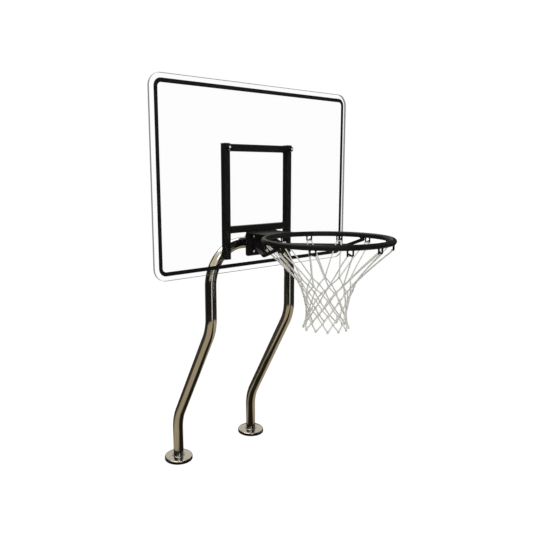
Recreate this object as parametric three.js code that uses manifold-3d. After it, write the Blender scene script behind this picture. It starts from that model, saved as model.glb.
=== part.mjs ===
// A poolside basketball hoop: a clear backboard with its steel bracket, rim and net,
// carried by one bent stainless tube whose two legs stand in sockets in the deck.
// Millimetres, +Z up. The origin lies on the deck, halfway between the legs.
// The board faces -Y, over the water.

import * as THREE from "three";
import * as BufferGeometryUtils from "three/addons/utils/BufferGeometryUtils.js";
import Module from "manifold-3d";

const wasm = await Module();
wasm.setup();

// Fits and cuts
const seat = 0.3; // gap between pieces that rest on or in each other
const holeClearance = 0.5; // room round a bolt, on the radius
const overrun = 5; // how far a cut runs past what it cuts
const weldTolerance = 1e-4; // vertices closer than this are one vertex

// Support tube
const tubeDiameter = 48.3;
const tubeWall = 2;
const legSpacing = 457;
const legReach = 283.8; // how far the board side of the tube stands in front of its feet
const tubeTopHeight = 1060;
const topBendRadius = 170;
const kneeDrop = 357; // from the top run down to where a leg's upper run and its slope meet
const ankleHeight = 206; // where a leg's slope and its lower run meet
const legBendRadius = 200;

// Escutcheon plates
const plateDiameter = 134;
const plateHeight = 20;
const plateSheet = 2;
const plateSkirt = 12;
const plateShoulder = 5; // width of the rounded edge above the skirt
const plateCollar = 4.5; // width of the raised ring round the leg
const plateBore = 0.6; // room between leg and plate, on the radius

// Backboard
const boardWidth = 1062;
const boardHeight = 762;
const boardThickness = 9.5;
const boardDrop = 109; // from the tube's top run down to the board's lower edge
const boardCorner = 50.8;
const borderInset = 19;
const borderWidth = 15.9;
const borderThickness = 0.4;

// Bracket of square tube behind the board
const bracketSize = 28.6;
const bracketWall = 2;
const uprightSpread = 345;
const uprightLength = 473;
const uprightOverhang = 14.1; // from the bolt through the tube down to the upright's lower end
const capThickness = 2.5;
const capPlug = 4;
const topBarDrop = 17.3; // from the uprights' upper ends down to the top bar's middle
const lowerBarLift = 64; // from the tube's top run up to the lower bar's middle

// Rim
const openingDiameter = 457.2;
const ringRod = 20.6;
const ringReach = 372.5; // board's front face to the ring's centre
const ringLift = 42; // from the tube's top run up to the ring's centre
const rimPlateWidth = 180;
const rimPlateHeight = 102;
const rimPlateDrop = 50; // from the tube's top run down to the rim plate's lower edge
const rimPlateThickness = 5;
const rimPlateCorner = 12;
const notchDepth = 18;
const notchHeight = 11;
const rimBoltSpread = 103;
const rimBoltRise = 64;
const topPlateWidth = 170;
const topPlateThickness = 4.5;
const topPlateLift = 2.2; // height of the top plate's underside over the ring's centre
const braceRod = 14;
const braceHeelSpread = 90;
const braceHeelDrop = 52; // ring's centre down to the brace's end on the rim plate
const braceKneeSpread = 462;
const braceKneeReach = 274; // board's front face to the brace's bend
const braceKneeDrop = 48; // ring's centre down to the brace's bend
const braceBendRadius = 30;
const braceToeReach = 350; // board's front face to the brace's front end

// Net hooks
const hookCount = 12;
const hookWire = 6;
const hookSpread = 20; // between a hook's two legs
const hookDrop = 19.7; // a leg's length below the ring's rod
const hookCrossShare = 0.45; // of a leg's length, down to where the slant meets the straight leg
const hookBend = 3.6;

// Net
const netCord = 6;
const netLength = 305; // hooks down to the tips
const netKnot = 11;
const netKnotShare = 1.6; // a knot's height over its width
const netRowShares = [0.423, 0.511, 0.608, 0.731, 0.813, 0.911, 1]; // of the net's length
const netRadiusShares = [0.45, 0.405, 0.358, 0.325, 0.312, 0.33, 0.36]; // of the ring's radius

// Rim backing plate and tube clamp
const backingWidth = 150;
const backingDrop = 48; // from the tube's top run down to the backing plate's lower edge
const backingThickness = 6;
const clampWidth = 50;
const clampHeight = 92;
const clampGap = 2; // between saddle and cap
const clampFlange = 8;
const clampArch = 7;
const clampScrewSpread = 26;
const clampScrewRise = 77;
const clampScrewGrip = 25; // how far a screw reaches into the saddle

// Fasteners
const rimBolt = { shank: 9.5, head: 20, dome: 5.5, nut: 16, nutHeight: 8, end: 3 };
const boardBolt = { shank: 8, head: 18, dome: 5, nut: 13, nutHeight: 6.5, end: 3 };
const boardWasher = { diameter: 24, thickness: 1.6 };
const uprightBolt = { shank: 8, head: 13, headHeight: 5.3, nut: 13, nutHeight: 6.5, end: 2 };
const clampScrew = { shank: 8, head: 13, headHeight: 8 };

// Smoothness of round shapes
const tubeSides = 18;
const plateSides = 32;
const ringSteps = 72;
const rodSides = 10;
const boltSides = 12;
const wireSides = 5;
const cordSides = 3;
const domeSteps = 4;
const cornerSteps = 8;
const arcSteps = 18;
const bendStep = THREE.MathUtils.degToRad(10);
const wireBendStep = THREE.MathUtils.degToRad(48);

// Places that follow from the sizes
const tubeRadius = tubeDiameter / 2;
const boardRunY = -legReach; // centre line of the tube behind the board
const bracketBackY = boardRunY - tubeRadius - seat;
const bracketFrontY = bracketBackY - bracketSize;
const boardBackY = bracketFrontY - seat;
const boardFrontY = boardBackY - boardThickness;
const rimPlateFrontY = boardFrontY - seat - rimPlateThickness;
const backingBackY = bracketFrontY + backingThickness;
const ringRadius = (openingDiameter + ringRod) / 2;
const ringCentreY = boardFrontY - ringReach;
const ringHeight = tubeTopHeight + ringLift;
const rimBoltHeight = tubeTopHeight - rimPlateDrop + rimPlateHeight / 2;
const rimBoltPlaces = [-1, 1].flatMap((across) => [-1, 1].map((up) => [
  across * rimBoltSpread / 2,
  rimBoltHeight + up * rimBoltRise / 2,
]));
const sides = [
  { name: "left", across: -1 },
  { name: "right", across: 1 },
];

// The tube's centre line crosses an upright inside the top bend, at this height.
const bendCentreX = legSpacing / 2 - topBendRadius;
const crossingHeight = tubeTopHeight - topBendRadius
  + Math.sqrt(topBendRadius ** 2 - (uprightSpread / 2 - bendCentreX) ** 2);
const uprightBottom = crossingHeight - uprightOverhang;
const uprightTop = uprightBottom + uprightLength;
const topBarHeight = uprightTop - topBarDrop;
const lowerBarHeight = tubeTopHeight + lowerBarLift;

const polishedSteel = new THREE.MeshStandardMaterial({ color: 0xb9b2a4, roughness: 0.18, metalness: 1 });
const blackCoat = new THREE.MeshStandardMaterial({ color: 0x16161a, roughness: 0.45, metalness: 0.1 });
const blackPlastic = new THREE.MeshStandardMaterial({ color: 0x1b1b1b, roughness: 0.6, metalness: 0 });
const clearBoard = new THREE.MeshStandardMaterial({
  color: 0xeef4f2,
  roughness: 0.05,
  metalness: 0,
  transparent: true,
  opacity: 0.25,
});
const borderInk = new THREE.MeshStandardMaterial({ color: 0x0b0b0b, roughness: 0.5, metalness: 0 });
const darkBolt = new THREE.MeshStandardMaterial({ color: 0x303032, roughness: 0.35, metalness: 0.8 });
const whiteCord = new THREE.MeshStandardMaterial({ color: 0xf1efe8, roughness: 0.85, metalness: 0 });

const hoop = new THREE.Group();

/** Adds one named piece to the hoop at a place. */
function addPiece(name, geometry, material, x = 0, y = 0, z = 0) {
  const piece = new THREE.Mesh(geometry, material);
  piece.name = name;
  piece.position.set(x, y, z);
  hoop.add(piece);
  return piece;
}

/** Straight runs joined by round bends, sampled where the runs end and along the bends. */
class BentPath extends THREE.Curve {
  constructor(corners, bendRadius, stepAngle) {
    super();
    this.stations = [corners[0]];
    this.tangents = [corners[1].clone().sub(corners[0]).normalize()];
    const radii = Array.isArray(bendRadius) ? bendRadius : corners.map(() => bendRadius);
    for (let i = 1; i < corners.length - 1; i += 1) {
      this.addBend(corners[i - 1], corners[i], corners[i + 1], radii[i], stepAngle);
    }
    this.stations.push(corners.at(-1));
    this.tangents.push(corners.at(-1).clone().sub(corners.at(-2)).normalize());
  }

  addBend(before, corner, after, radius, stepAngle) {
    const along = corner.clone().sub(before).normalize();
    const onward = after.clone().sub(corner).normalize();
    const turn = along.angleTo(onward);
    const inward = onward.clone().addScaledVector(along, -along.dot(onward)).normalize();
    const start = corner.clone().addScaledVector(along, -radius * Math.tan(turn / 2));
    const centre = start.clone().addScaledVector(inward, radius);
    const steps = Math.ceil(turn / stepAngle);
    for (let step = 0; step <= steps; step += 1) {
      const angle = turn * step / steps;
      this.stations.push(centre.clone()
        .addScaledVector(inward, -radius * Math.cos(angle))
        .addScaledVector(along, radius * Math.sin(angle)));
      this.tangents.push(along.clone().multiplyScalar(Math.cos(angle))
        .addScaledVector(inward, Math.sin(angle)));
    }
  }

  get steps() {
    return this.stations.length - 1;
  }

  getPoint(t, target = new THREE.Vector3()) {
    return target.copy(this.stations[Math.round(t * this.steps)]);
  }

  getPointAt(u, target) {
    return this.getPoint(u, target);
  }

  getTangentAt(u, target = new THREE.Vector3()) {
    return target.copy(this.tangents[Math.round(u * this.steps)]);
  }
}

/** A round bar along a bent path, hollow where a bore is given. */
function sweepRound(path, radius, roundSides, bore = 0) {
  const section = new THREE.Shape().absarc(0, 0, radius, 0, 2 * Math.PI, false);
  if (bore > 0) {
    section.holes.push(new THREE.Path().absarc(0, 0, bore, 0, 2 * Math.PI, true));
  }
  return new THREE.ExtrudeGeometry(section, {
    steps: path.steps,
    curveSegments: roundSides / 2,
    extrudePath: path,
  });
}

/** A plate drawn in X and Z, from y = 0 to its thickness. */
function uprightPlate(outline, thickness, steps = cornerSteps) {
  const plate = new THREE.ExtrudeGeometry(outline, {
    depth: thickness,
    bevelEnabled: false,
    curveSegments: steps / 2,
  });
  return plate.rotateX(Math.PI / 2).translate(0, thickness, 0);
}

/** A bar whose section is drawn in Y and Z, centred on x = 0. */
function crossBar(section, length) {
  const bar = new THREE.ExtrudeGeometry(section, {
    depth: length,
    bevelEnabled: false,
    curveSegments: arcSteps / 2,
  });
  const turn = new THREE.Matrix4().makeBasis(
    new THREE.Vector3(0, 1, 0),
    new THREE.Vector3(0, 0, 1),
    new THREE.Vector3(1, 0, 0),
  );
  return bar.applyMatrix4(turn).translate(-length / 2, 0, 0);
}

/** A rectangle with round corners, centred on the origin. */
function roundedRectangle(width, height, corner) {
  const x = width / 2 - corner;
  const y = height / 2 - corner;
  return new THREE.Shape()
    .absarc(x, y, corner, 0, Math.PI / 2, false)
    .absarc(-x, y, corner, Math.PI / 2, Math.PI, false)
    .absarc(-x, -y, corner, Math.PI, 1.5 * Math.PI, false)
    .absarc(x, -y, corner, 1.5 * Math.PI, 2 * Math.PI, false);
}

/** The section of a hollow square tube. */
function squareTubeSection() {
  const outer = bracketSize / 2;
  const inner = outer - bracketWall;
  const section = new THREE.Shape()
    .moveTo(-outer, -outer)
    .lineTo(outer, -outer)
    .lineTo(outer, outer)
    .lineTo(-outer, outer)
    .closePath();
  section.holes.push(new THREE.Path()
    .moveTo(-inner, -inner)
    .lineTo(-inner, inner)
    .lineTo(inner, inner)
    .lineTo(inner, -inner)
    .closePath());
  return section;
}

/** A closed mesh as a solid that can be cut and joined. */
function solidOf(geometry) {
  const bare = geometry.clone();
  bare.deleteAttribute("normal");
  bare.deleteAttribute("uv");
  const welded = BufferGeometryUtils.mergeVertices(bare, weldTolerance);
  return new wasm.Manifold(new wasm.Mesh({
    numProp: 3,
    vertProperties: Float32Array.from(welded.attributes.position.array),
    triVerts: Uint32Array.from(welded.index.array),
  }));
}

/** A solid's surface as a geometry. */
function geometryOf(solid) {
  const mesh = solid.getMesh();
  const geometry = new THREE.BufferGeometry();
  geometry.setAttribute("position", new THREE.BufferAttribute(mesh.vertProperties, 3));
  geometry.setIndex(new THREE.BufferAttribute(mesh.triVerts, 1));
  geometry.computeVertexNormals();
  return geometry;
}

/** A piece with other shapes cut out of it. */
function cut(geometry, tools) {
  return geometryOf(tools.reduce((rest, tool) => rest.subtract(solidOf(tool)), solidOf(geometry)));
}

/** Several shapes that meet, as one piece. */
function join(geometries) {
  return geometryOf(geometries.map(solidOf).reduce((whole, next) => whole.add(next)));
}

/** A round cutter along Y that runs past both given faces. */
function drillAlongY(diameter, x, yFrom, yTo, z) {
  const length = yTo - yFrom + 2 * overrun;
  return new THREE.CylinderGeometry(diameter / 2, diameter / 2, length, boltSides)
    .translate(x, (yFrom + yTo) / 2, z);
}

/** A carriage bolt along Y: the flat underside of its dome lies at y = 0. */
function domeBolt(bolt, length) {
  const profile = [];
  for (let step = 0; step <= domeSteps; step += 1) {
    const angle = step / domeSteps * Math.PI / 2;
    profile.push(new THREE.Vector2(bolt.head / 2 * Math.sin(angle), -bolt.dome * Math.cos(angle)));
  }
  profile.push(new THREE.Vector2(bolt.shank / 2, 0));
  profile.push(new THREE.Vector2(bolt.shank / 2, length));
  profile.push(new THREE.Vector2(0, length));
  return new THREE.LatheGeometry(profile, boltSides);
}

/** A hexagon in X and Z with the given width across its flats. */
function hexagon(acrossFlats) {
  const corner = acrossFlats / 2 / Math.cos(Math.PI / 6);
  const outline = new THREE.Shape();
  for (let i = 0; i < 6; i += 1) {
    const angle = i * Math.PI / 3;
    outline[i === 0 ? "moveTo" : "lineTo"](corner * Math.cos(angle), corner * Math.sin(angle));
  }
  return outline.closePath();
}

/** A nut round the given bolt, from y = 0 to its height. */
function hexNut(bolt) {
  const outline = hexagon(bolt.nut);
  outline.holes.push(new THREE.Path().absarc(0, 0, bolt.shank / 2 + seat, 0, 2 * Math.PI, true));
  return uprightPlate(outline, bolt.nutHeight, boltSides);
}

/** The stainless tube: two S-bent legs and the run between them. */
function buildSupportTube() {
  const half = legSpacing / 2;
  const kneeHeight = tubeTopHeight - kneeDrop;
  const leftLeg = [
    new THREE.Vector3(-half, 0, 0),
    new THREE.Vector3(-half, 0, ankleHeight),
    new THREE.Vector3(-half, boardRunY, kneeHeight),
    new THREE.Vector3(-half, boardRunY, tubeTopHeight),
  ];
  const rightLeg = leftLeg.map((corner) => new THREE.Vector3(-corner.x, corner.y, corner.z)).reverse();
  const legRadii = [0, legBendRadius, legBendRadius, topBendRadius];
  const radii = [...legRadii, ...legRadii.toReversed()];
  const path = new BentPath([...leftLeg, ...rightLeg], radii, bendStep);
  const tube = sweepRound(path, tubeRadius, tubeSides, tubeRadius - tubeWall);
  const boltHoles = sides.map(({ across }) => drillAlongY(
    uprightBolt.shank + 2 * holeClearance,
    across * uprightSpread / 2,
    boardRunY - tubeRadius,
    boardRunY + tubeRadius,
    crossingHeight,
  ));
  addPiece("support_tube", cut(tube, boltHoles), polishedSteel);
}

/** The loose plates that cover the sockets in the deck. */
function buildEscutcheons() {
  const outer = plateDiameter / 2;
  const bore = tubeRadius + plateBore;
  const collar = bore + plateCollar;
  const shoulderHeight = plateSkirt + plateShoulder / 2;
  const inside = outer - plateSheet;
  const profile = [
    new THREE.Vector2(inside, 0),
    new THREE.Vector2(outer, 0),
    new THREE.Vector2(outer, plateSkirt),
    new THREE.Vector2(outer - plateShoulder / 3, shoulderHeight),
    new THREE.Vector2(outer - plateShoulder, shoulderHeight + plateSheet / 2),
    new THREE.Vector2(collar, plateHeight - plateSheet),
    new THREE.Vector2(collar, plateHeight),
    new THREE.Vector2(bore, plateHeight),
    new THREE.Vector2(bore, plateHeight - 2 * plateSheet),
    new THREE.Vector2(collar, plateHeight - 2 * plateSheet),
    new THREE.Vector2(inside - plateShoulder, shoulderHeight - plateSheet),
    new THREE.Vector2(inside, plateSkirt - plateSheet),
    new THREE.Vector2(inside, 0),
  ];
  for (const { name, across } of sides) {
    const plate = new THREE.LatheGeometry(profile, plateSides).rotateX(Math.PI / 2);
    addPiece(`escutcheon_${name}`, plate, polishedSteel, across * legSpacing / 2);
  }
}

/** The clear board and the border printed on its front. */
function buildBackboard() {
  const middle = tubeTopHeight - boardDrop + boardHeight / 2;
  const board = uprightPlate(roundedRectangle(boardWidth, boardHeight, boardCorner), boardThickness);
  const drill = (bolt, x, z) => drillAlongY(
    bolt.shank + 2 * holeClearance,
    x,
    0,
    boardThickness,
    z - middle,
  );
  const holes = rimBoltPlaces.map(([x, z]) => drill(rimBolt, x, z));
  for (const { across } of sides) {
    holes.push(drill(boardBolt, across * uprightSpread / 2, topBarHeight));
  }
  addPiece("backboard", cut(board, holes), clearBoard, 0, boardFrontY, middle);

  const frameOf = (inset) => roundedRectangle(
    boardWidth - 2 * inset,
    boardHeight - 2 * inset,
    boardCorner - inset,
  );
  const border = frameOf(borderInset);
  const window = frameOf(borderInset + borderWidth).getPoints(cornerSteps / 2);
  border.holes.push(new THREE.Path(window.reverse()));
  const band = uprightPlate(border, borderThickness);
  addPiece("printed_border", band, borderInk, 0, boardFrontY - seat - borderThickness, middle);
}

/** The welded bracket behind the board, with the plastic caps in its uprights' ends. */
function buildBracket() {
  const centreY = (bracketFrontY + bracketBackY) / 2;
  const tubeBottom = uprightBottom + capThickness + seat;
  const tubeTop = uprightTop - capThickness - seat;
  const plugSize = bracketSize - 2 * bracketWall - 2 * seat;
  for (const { name, across } of sides) {
    const x = across * uprightSpread / 2;
    const upright = new THREE.ExtrudeGeometry(squareTubeSection(), {
      depth: tubeTop - tubeBottom,
      bevelEnabled: false,
    });
    const throughBoard = drillAlongY(
      boardBolt.shank + 2 * holeClearance,
      0,
      -bracketSize / 2,
      bracketSize / 2,
      topBarHeight - tubeBottom,
    );
    const backWallOnly = drillAlongY(
      uprightBolt.shank + 2 * holeClearance,
      0,
      overrun,
      bracketSize / 2,
      crossingHeight - tubeBottom,
    );
    const drilled = cut(upright, [throughBoard, backWallOnly]);
    addPiece(`upright_${name}`, drilled, blackCoat, x, centreY, tubeBottom);
    const ends = [
      { end: "bottom", z: uprightBottom, up: 1 },
      { end: "top", z: uprightTop, up: -1 },
    ];
    for (const { end, z, up } of ends) {
      const flange = new THREE.BoxGeometry(bracketSize, bracketSize, capThickness)
        .translate(0, 0, up * capThickness / 2);
      const plugHeight = capThickness + seat + capPlug;
      const plug = new THREE.BoxGeometry(plugSize, plugSize, plugHeight)
        .translate(0, 0, up * plugHeight / 2);
      addPiece(`end_cap_${name}_${end}`, join([flange, plug]), blackPlastic, x, centreY, z);
    }
  }
  const barLength = uprightSpread - bracketSize - 2 * seat;
  const bar = crossBar(squareTubeSection(), barLength);
  addPiece("top_bar", bar, blackCoat, 0, centreY, topBarHeight);
  addPiece("lower_bar", bar, blackCoat, 0, centreY, lowerBarHeight);
}

/** The plate on the board's face, with a slot open to each side between its bolts. */
function buildRimPlate() {
  const plate = uprightPlate(
    roundedRectangle(rimPlateWidth, rimPlateHeight, rimPlateCorner),
    rimPlateThickness,
  );
  const tools = rimBoltPlaces.map(([x, z]) => drillAlongY(
    rimBolt.shank + 2 * holeClearance,
    x,
    0,
    rimPlateThickness,
    z - rimBoltHeight,
  ));
  for (const { across } of sides) {
    const slotEnd = across * (rimPlateWidth / 2 - notchDepth + notchHeight / 2);
    const slotLength = notchDepth + overrun;
    tools.push(drillAlongY(notchHeight, slotEnd, 0, rimPlateThickness, 0));
    tools.push(new THREE.BoxGeometry(slotLength, rimPlateThickness + 2 * overrun, notchHeight)
      .translate(slotEnd + across * slotLength / 2, rimPlateThickness / 2, 0));
  }
  addPiece("rim_plate", cut(plate, tools), blackCoat, 0, rimPlateFrontY, rimBoltHeight);
}

/** The flat plate from the rim plate to the ring, hollowed to the ring's curve. */
function buildTopPlate() {
  const half = topPlateWidth / 2;
  const back = rimPlateFrontY - seat;
  const hug = ringRadius + ringRod / 2 + seat;
  const reach = Math.asin(half / hug);
  const outline = new THREE.Shape()
    .moveTo(half, back)
    .lineTo(-half, back)
    .absarc(0, ringCentreY, hug, Math.PI / 2 + reach, Math.PI / 2 - reach, true)
    .closePath();
  const plate = new THREE.ExtrudeGeometry(outline, {
    depth: topPlateThickness,
    bevelEnabled: false,
    curveSegments: arcSteps / 2,
  });
  addPiece("rim_top_plate", plate, blackCoat, 0, 0, ringHeight + topPlateLift);
}

/** The ring and the two rods that brace it from below. */
function buildRing() {
  const ring = new THREE.TorusGeometry(ringRadius, ringRod / 2, rodSides, ringSteps);
  addPiece("rim_ring", ring, blackCoat, 0, ringCentreY, ringHeight);

  const toeX = Math.sqrt(ringRadius ** 2 - (braceToeReach - ringReach) ** 2);
  const toeHeight = ringHeight - ringRod / 2 - seat - braceRod / 2;
  for (const { name, across } of sides) {
    const toe = new THREE.Vector3(across * toeX, boardFrontY - braceToeReach, toeHeight);
    const knee = new THREE.Vector3(
      across * braceKneeSpread / 2,
      boardFrontY - braceKneeReach,
      ringHeight - braceKneeDrop,
    );
    const heel = new THREE.Vector3(
      across * braceHeelSpread / 2,
      rimPlateFrontY,
      ringHeight - braceHeelDrop,
    );
    const line = new BentPath([toe, knee, heel], braceBendRadius, bendStep);
    const rod = sweepRound(line, braceRod / 2, rodSides);
    const roundEnd = new THREE.SphereGeometry(braceRod / 2, rodSides, rodSides / 2)
      .translate(toe.x, toe.y, toe.z);
    const plateFace = new THREE.BoxGeometry(rimPlateWidth, 2 * braceRod, rimPlateHeight)
      .translate(0, rimPlateFrontY - seat + braceRod, rimBoltHeight);
    addPiece(`rim_brace_${name}`, cut(join([rod, roundEnd]), [plateFace]), blackCoat);
  }
}

/** A hook for each loop of the net: a leg that bends into a slant up to a second, straight leg. */
function buildHooks() {
  const half = hookSpread / 2;
  const top = -ringRod / 2 - seat;
  const corners = [
    new THREE.Vector3(-half, 0, top),
    new THREE.Vector3(-half, 0, top - hookDrop),
    new THREE.Vector3(half, 0, top - hookCrossShare * hookDrop),
  ];
  const bentLeg = sweepRound(new BentPath(corners, hookBend, wireBendStep), hookWire / 2, wireSides);
  const straightLeg = new THREE.CylinderGeometry(hookWire / 2, hookWire / 2, hookDrop, wireSides)
    .rotateX(Math.PI / 2)
    .translate(half, 0, top - hookDrop / 2);
  const wire = join([bentLeg, straightLeg]);
  for (let i = 0; i < hookCount; i += 1) {
    const angle = i * 2 * Math.PI / hookCount;
    const hook = addPiece(
      `net_hook_${String(i + 1).padStart(2, "0")}`,
      wire,
      blackCoat,
      ringRadius * Math.cos(angle),
      ringCentreY + ringRadius * Math.sin(angle),
      ringHeight,
    );
    hook.rotation.z = angle - Math.PI / 2;
  }
}

/** A straight length of cord between two points. */
function cordBetween(from, to) {
  const length = from.distanceTo(to);
  const cord = new THREE.CylinderGeometry(netCord / 2, netCord / 2, length, cordSides);
  const up = new THREE.Vector3(0, 1, 0);
  const along = to.clone().sub(from).normalize();
  cord.applyQuaternion(new THREE.Quaternion().setFromUnitVectors(up, along));
  const middle = from.clone().add(to).multiplyScalar(0.5);
  return cord.translate(middle.x, middle.y, middle.z);
}

/** The knotted net: twelve loops on the hooks, then rows of diamonds to the tips. */
function buildNet() {
  const netTop = ringHeight - ringRod / 2 - seat - hookDrop;
  const topRadius = ringRadius - hookWire / 2 - seat - netCord / 2;
  const pitch = 2 * Math.PI / hookCount;
  const place = (angle, radius, z, aside = 0) => new THREE.Vector3(
    radius * Math.cos(angle) - aside * Math.sin(angle),
    ringCentreY + radius * Math.sin(angle) + aside * Math.cos(angle),
    z,
  );
  const pieces = [];
  const knotAt = (point) => pieces.push(new THREE.OctahedronGeometry(netKnot / 2)
    .scale(1, 1, netKnotShare)
    .rotateZ(Math.atan2(point.y - ringCentreY, point.x))
    .translate(point.x, point.y, point.z));
  const rows = netRowShares.map((share, row) => ({
    z: netTop - share * netLength,
    radius: netRadiusShares[row] * ringRadius,
    shift: (row + 1) % 2 / 2,
  }));
  const knotOf = (row, i) => place((i + rows[row].shift) * pitch, rows[row].radius, rows[row].z);
  for (let i = 0; i < hookCount; i += 1) {
    const ends = [-1, 1].map((way) => place(i * pitch, topRadius, netTop, way * hookSpread / 2));
    pieces.push(cordBetween(ends[0], ends[1]));
    pieces.push(cordBetween(ends[0], knotOf(0, i - 1)));
    pieces.push(cordBetween(ends[1], knotOf(0, i)));
    rows.slice(1).forEach((_, row) => {
      const next = row % 2 === 0 ? i : i - 1;
      pieces.push(cordBetween(knotOf(row, i), knotOf(row + 1, next)));
      pieces.push(cordBetween(knotOf(row, i), knotOf(row + 1, next + 1)));
    });
    rows.forEach((_, row) => knotAt(knotOf(row, i)));
  }
  addPiece("net", join(pieces), whiteCord);
}

/** What holds the rim's nuts and the tube's middle, behind the board. */
function buildTubeClamp() {
  const backingTop = lowerBarHeight - bracketSize / 2 - seat;
  const backingBottom = tubeTopHeight - backingDrop;
  const backingHeight = backingTop - backingBottom;
  const backingMiddle = (backingTop + backingBottom) / 2;
  const backing = uprightPlate(
    roundedRectangle(backingWidth, backingHeight, rimPlateThickness),
    backingThickness,
  );
  const holes = rimBoltPlaces.map(([x, z]) => drillAlongY(
    rimBolt.shank + 2 * holeClearance,
    x,
    0,
    backingThickness,
    z - backingMiddle,
  ));
  addPiece("rim_backing_plate", cut(backing, holes), blackCoat, 0, bracketFrontY, backingMiddle);

  const grip = tubeRadius + seat;
  const half = clampHeight / 2;
  const parting = clampGap / 2;
  const lip = Math.sqrt(grip ** 2 - parting ** 2);
  const lipAngle = Math.acos(parting / grip);
  const saddleDepth = boardRunY - backingBackY - seat;
  const saddleSection = new THREE.Shape()
    .moveTo(-saddleDepth, -half)
    .lineTo(-parting, -half)
    .lineTo(-parting, -lip)
    .absarc(0, 0, grip, Math.PI + lipAngle, Math.PI - lipAngle, true)
    .lineTo(-parting, half)
    .lineTo(-saddleDepth, half)
    .closePath();
  const flangeBack = parting + clampFlange;
  const archRadius = grip + clampArch;
  const archAngle = Math.acos(flangeBack / archRadius);
  const capSection = new THREE.Shape()
    .moveTo(parting, -half)
    .lineTo(flangeBack, -half)
    .absarc(0, 0, archRadius, -archAngle, archAngle, false)
    .lineTo(flangeBack, half)
    .lineTo(parting, half)
    .absarc(0, 0, grip, lipAngle, -lipAngle, true)
    .closePath();
  const screwPlaces = [-1, 1].flatMap((across) => [-1, 1].map((up) => [
    across * clampScrewSpread / 2,
    up * clampScrewRise / 2,
  ]));
  const screwHole = clampScrew.shank + 2 * seat;
  const saddleHoles = screwPlaces.map(([x, z]) => drillAlongY(screwHole, x, -clampScrewGrip, 0, z));
  const capHoles = screwPlaces.map(([x, z]) => drillAlongY(screwHole, x, 0, flangeBack, z));
  const saddle = cut(crossBar(saddleSection, clampWidth), saddleHoles);
  const cap = cut(crossBar(capSection, clampWidth), capHoles);
  addPiece("tube_saddle", saddle, blackCoat, 0, boardRunY, tubeTopHeight);
  addPiece("tube_clamp_cap", cap, blackCoat, 0, boardRunY, tubeTopHeight);

  const screwHead = flangeBack + seat;
  const profile = [
    new THREE.Vector2(0, -clampScrewGrip),
    new THREE.Vector2(clampScrew.shank / 2, -clampScrewGrip),
    new THREE.Vector2(clampScrew.shank / 2, screwHead),
    new THREE.Vector2(clampScrew.head / 2, screwHead),
    new THREE.Vector2(clampScrew.head / 2, screwHead + clampScrew.headHeight),
    new THREE.Vector2(0, screwHead + clampScrew.headHeight),
  ];
  screwPlaces.forEach(([x, z], i) => {
    const screw = new THREE.LatheGeometry(profile, boltSides);
    addPiece(`clamp_screw_${i + 1}`, screw, darkBolt, x, boardRunY, tubeTopHeight + z);
  });
}

/** The bolts and nuts of the rim, of the board's top and of the tube's bends. */
function buildFasteners() {
  const rimHeadY = rimPlateFrontY - seat;
  const rimNutY = backingBackY + seat;
  const rimLength = rimNutY + rimBolt.nutHeight + rimBolt.end - rimHeadY;
  rimBoltPlaces.forEach(([x, z], i) => {
    addPiece(`rim_bolt_${i + 1}`, domeBolt(rimBolt, rimLength), darkBolt, x, rimHeadY, z);
    addPiece(`rim_nut_${i + 1}`, hexNut(rimBolt), darkBolt, x, rimNutY, z);
  });

  const washerY = boardFrontY - seat - boardWasher.thickness;
  const boardHeadY = washerY - seat;
  const boardNutY = bracketBackY + seat;
  const boardLength = boardNutY + boardBolt.nutHeight + boardBolt.end - boardHeadY;
  const washerOutline = new THREE.Shape().absarc(0, 0, boardWasher.diameter / 2, 0, 2 * Math.PI, false);
  washerOutline.holes.push(new THREE.Path()
    .absarc(0, 0, boardBolt.shank / 2 + holeClearance, 0, 2 * Math.PI, true));
  const tubeBackY = boardRunY + tubeRadius + seat;
  const weldNutY = bracketBackY - bracketWall - seat - uprightBolt.nutHeight;
  const shankReach = tubeBackY - weldNutY + uprightBolt.end;
  const shankLength = shankReach + uprightBolt.headHeight / 2;
  for (const { name, across } of sides) {
    const x = across * uprightSpread / 2;
    const bolt = domeBolt(boardBolt, boardLength);
    addPiece(`board_bolt_${name}`, bolt, darkBolt, x, boardHeadY, topBarHeight);
    const washer = uprightPlate(washerOutline, boardWasher.thickness, plateSides / 2);
    addPiece(`board_washer_${name}`, washer, darkBolt, x, washerY, topBarHeight);
    addPiece(`board_nut_${name}`, hexNut(boardBolt), darkBolt, x, boardNutY, topBarHeight);

    const shankRadius = uprightBolt.shank / 2;
    const shank = new THREE.CylinderGeometry(shankRadius, shankRadius, shankLength, boltSides)
      .translate(0, shankLength / 2 - shankReach, 0);
    const head = uprightPlate(hexagon(uprightBolt.head), uprightBolt.headHeight);
    addPiece(`upright_bolt_${name}`, join([head, shank]), darkBolt, x, tubeBackY, crossingHeight);
    addPiece(`upright_nut_${name}`, hexNut(uprightBolt), darkBolt, x, weldNutY, crossingHeight);
  }
}

buildSupportTube();
buildEscutcheons();
buildBackboard();
buildBracket();
buildRimPlate();
buildTopPlate();
buildRing();
buildHooks();
buildNet();
buildTubeClamp();
buildFasteners();

export default hoop;
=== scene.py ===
"""The looks of a poolside basketball hoop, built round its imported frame.

A clear board with a printed border hangs on a black steel bracket. The bracket, the rim and
the net are carried by one bent stainless tube whose two legs stand in sockets in the deck.
Metres, +Z up. The origin lies on the deck between the legs, and the board faces -Y.
"""

import logging
import math
from dataclasses import dataclass
from enum import Enum
from typing import Callable, Sequence

import bpy
import numpy as np
from mathutils import Matrix, Vector
from mathutils.geometry import tessellate_polygon


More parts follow.
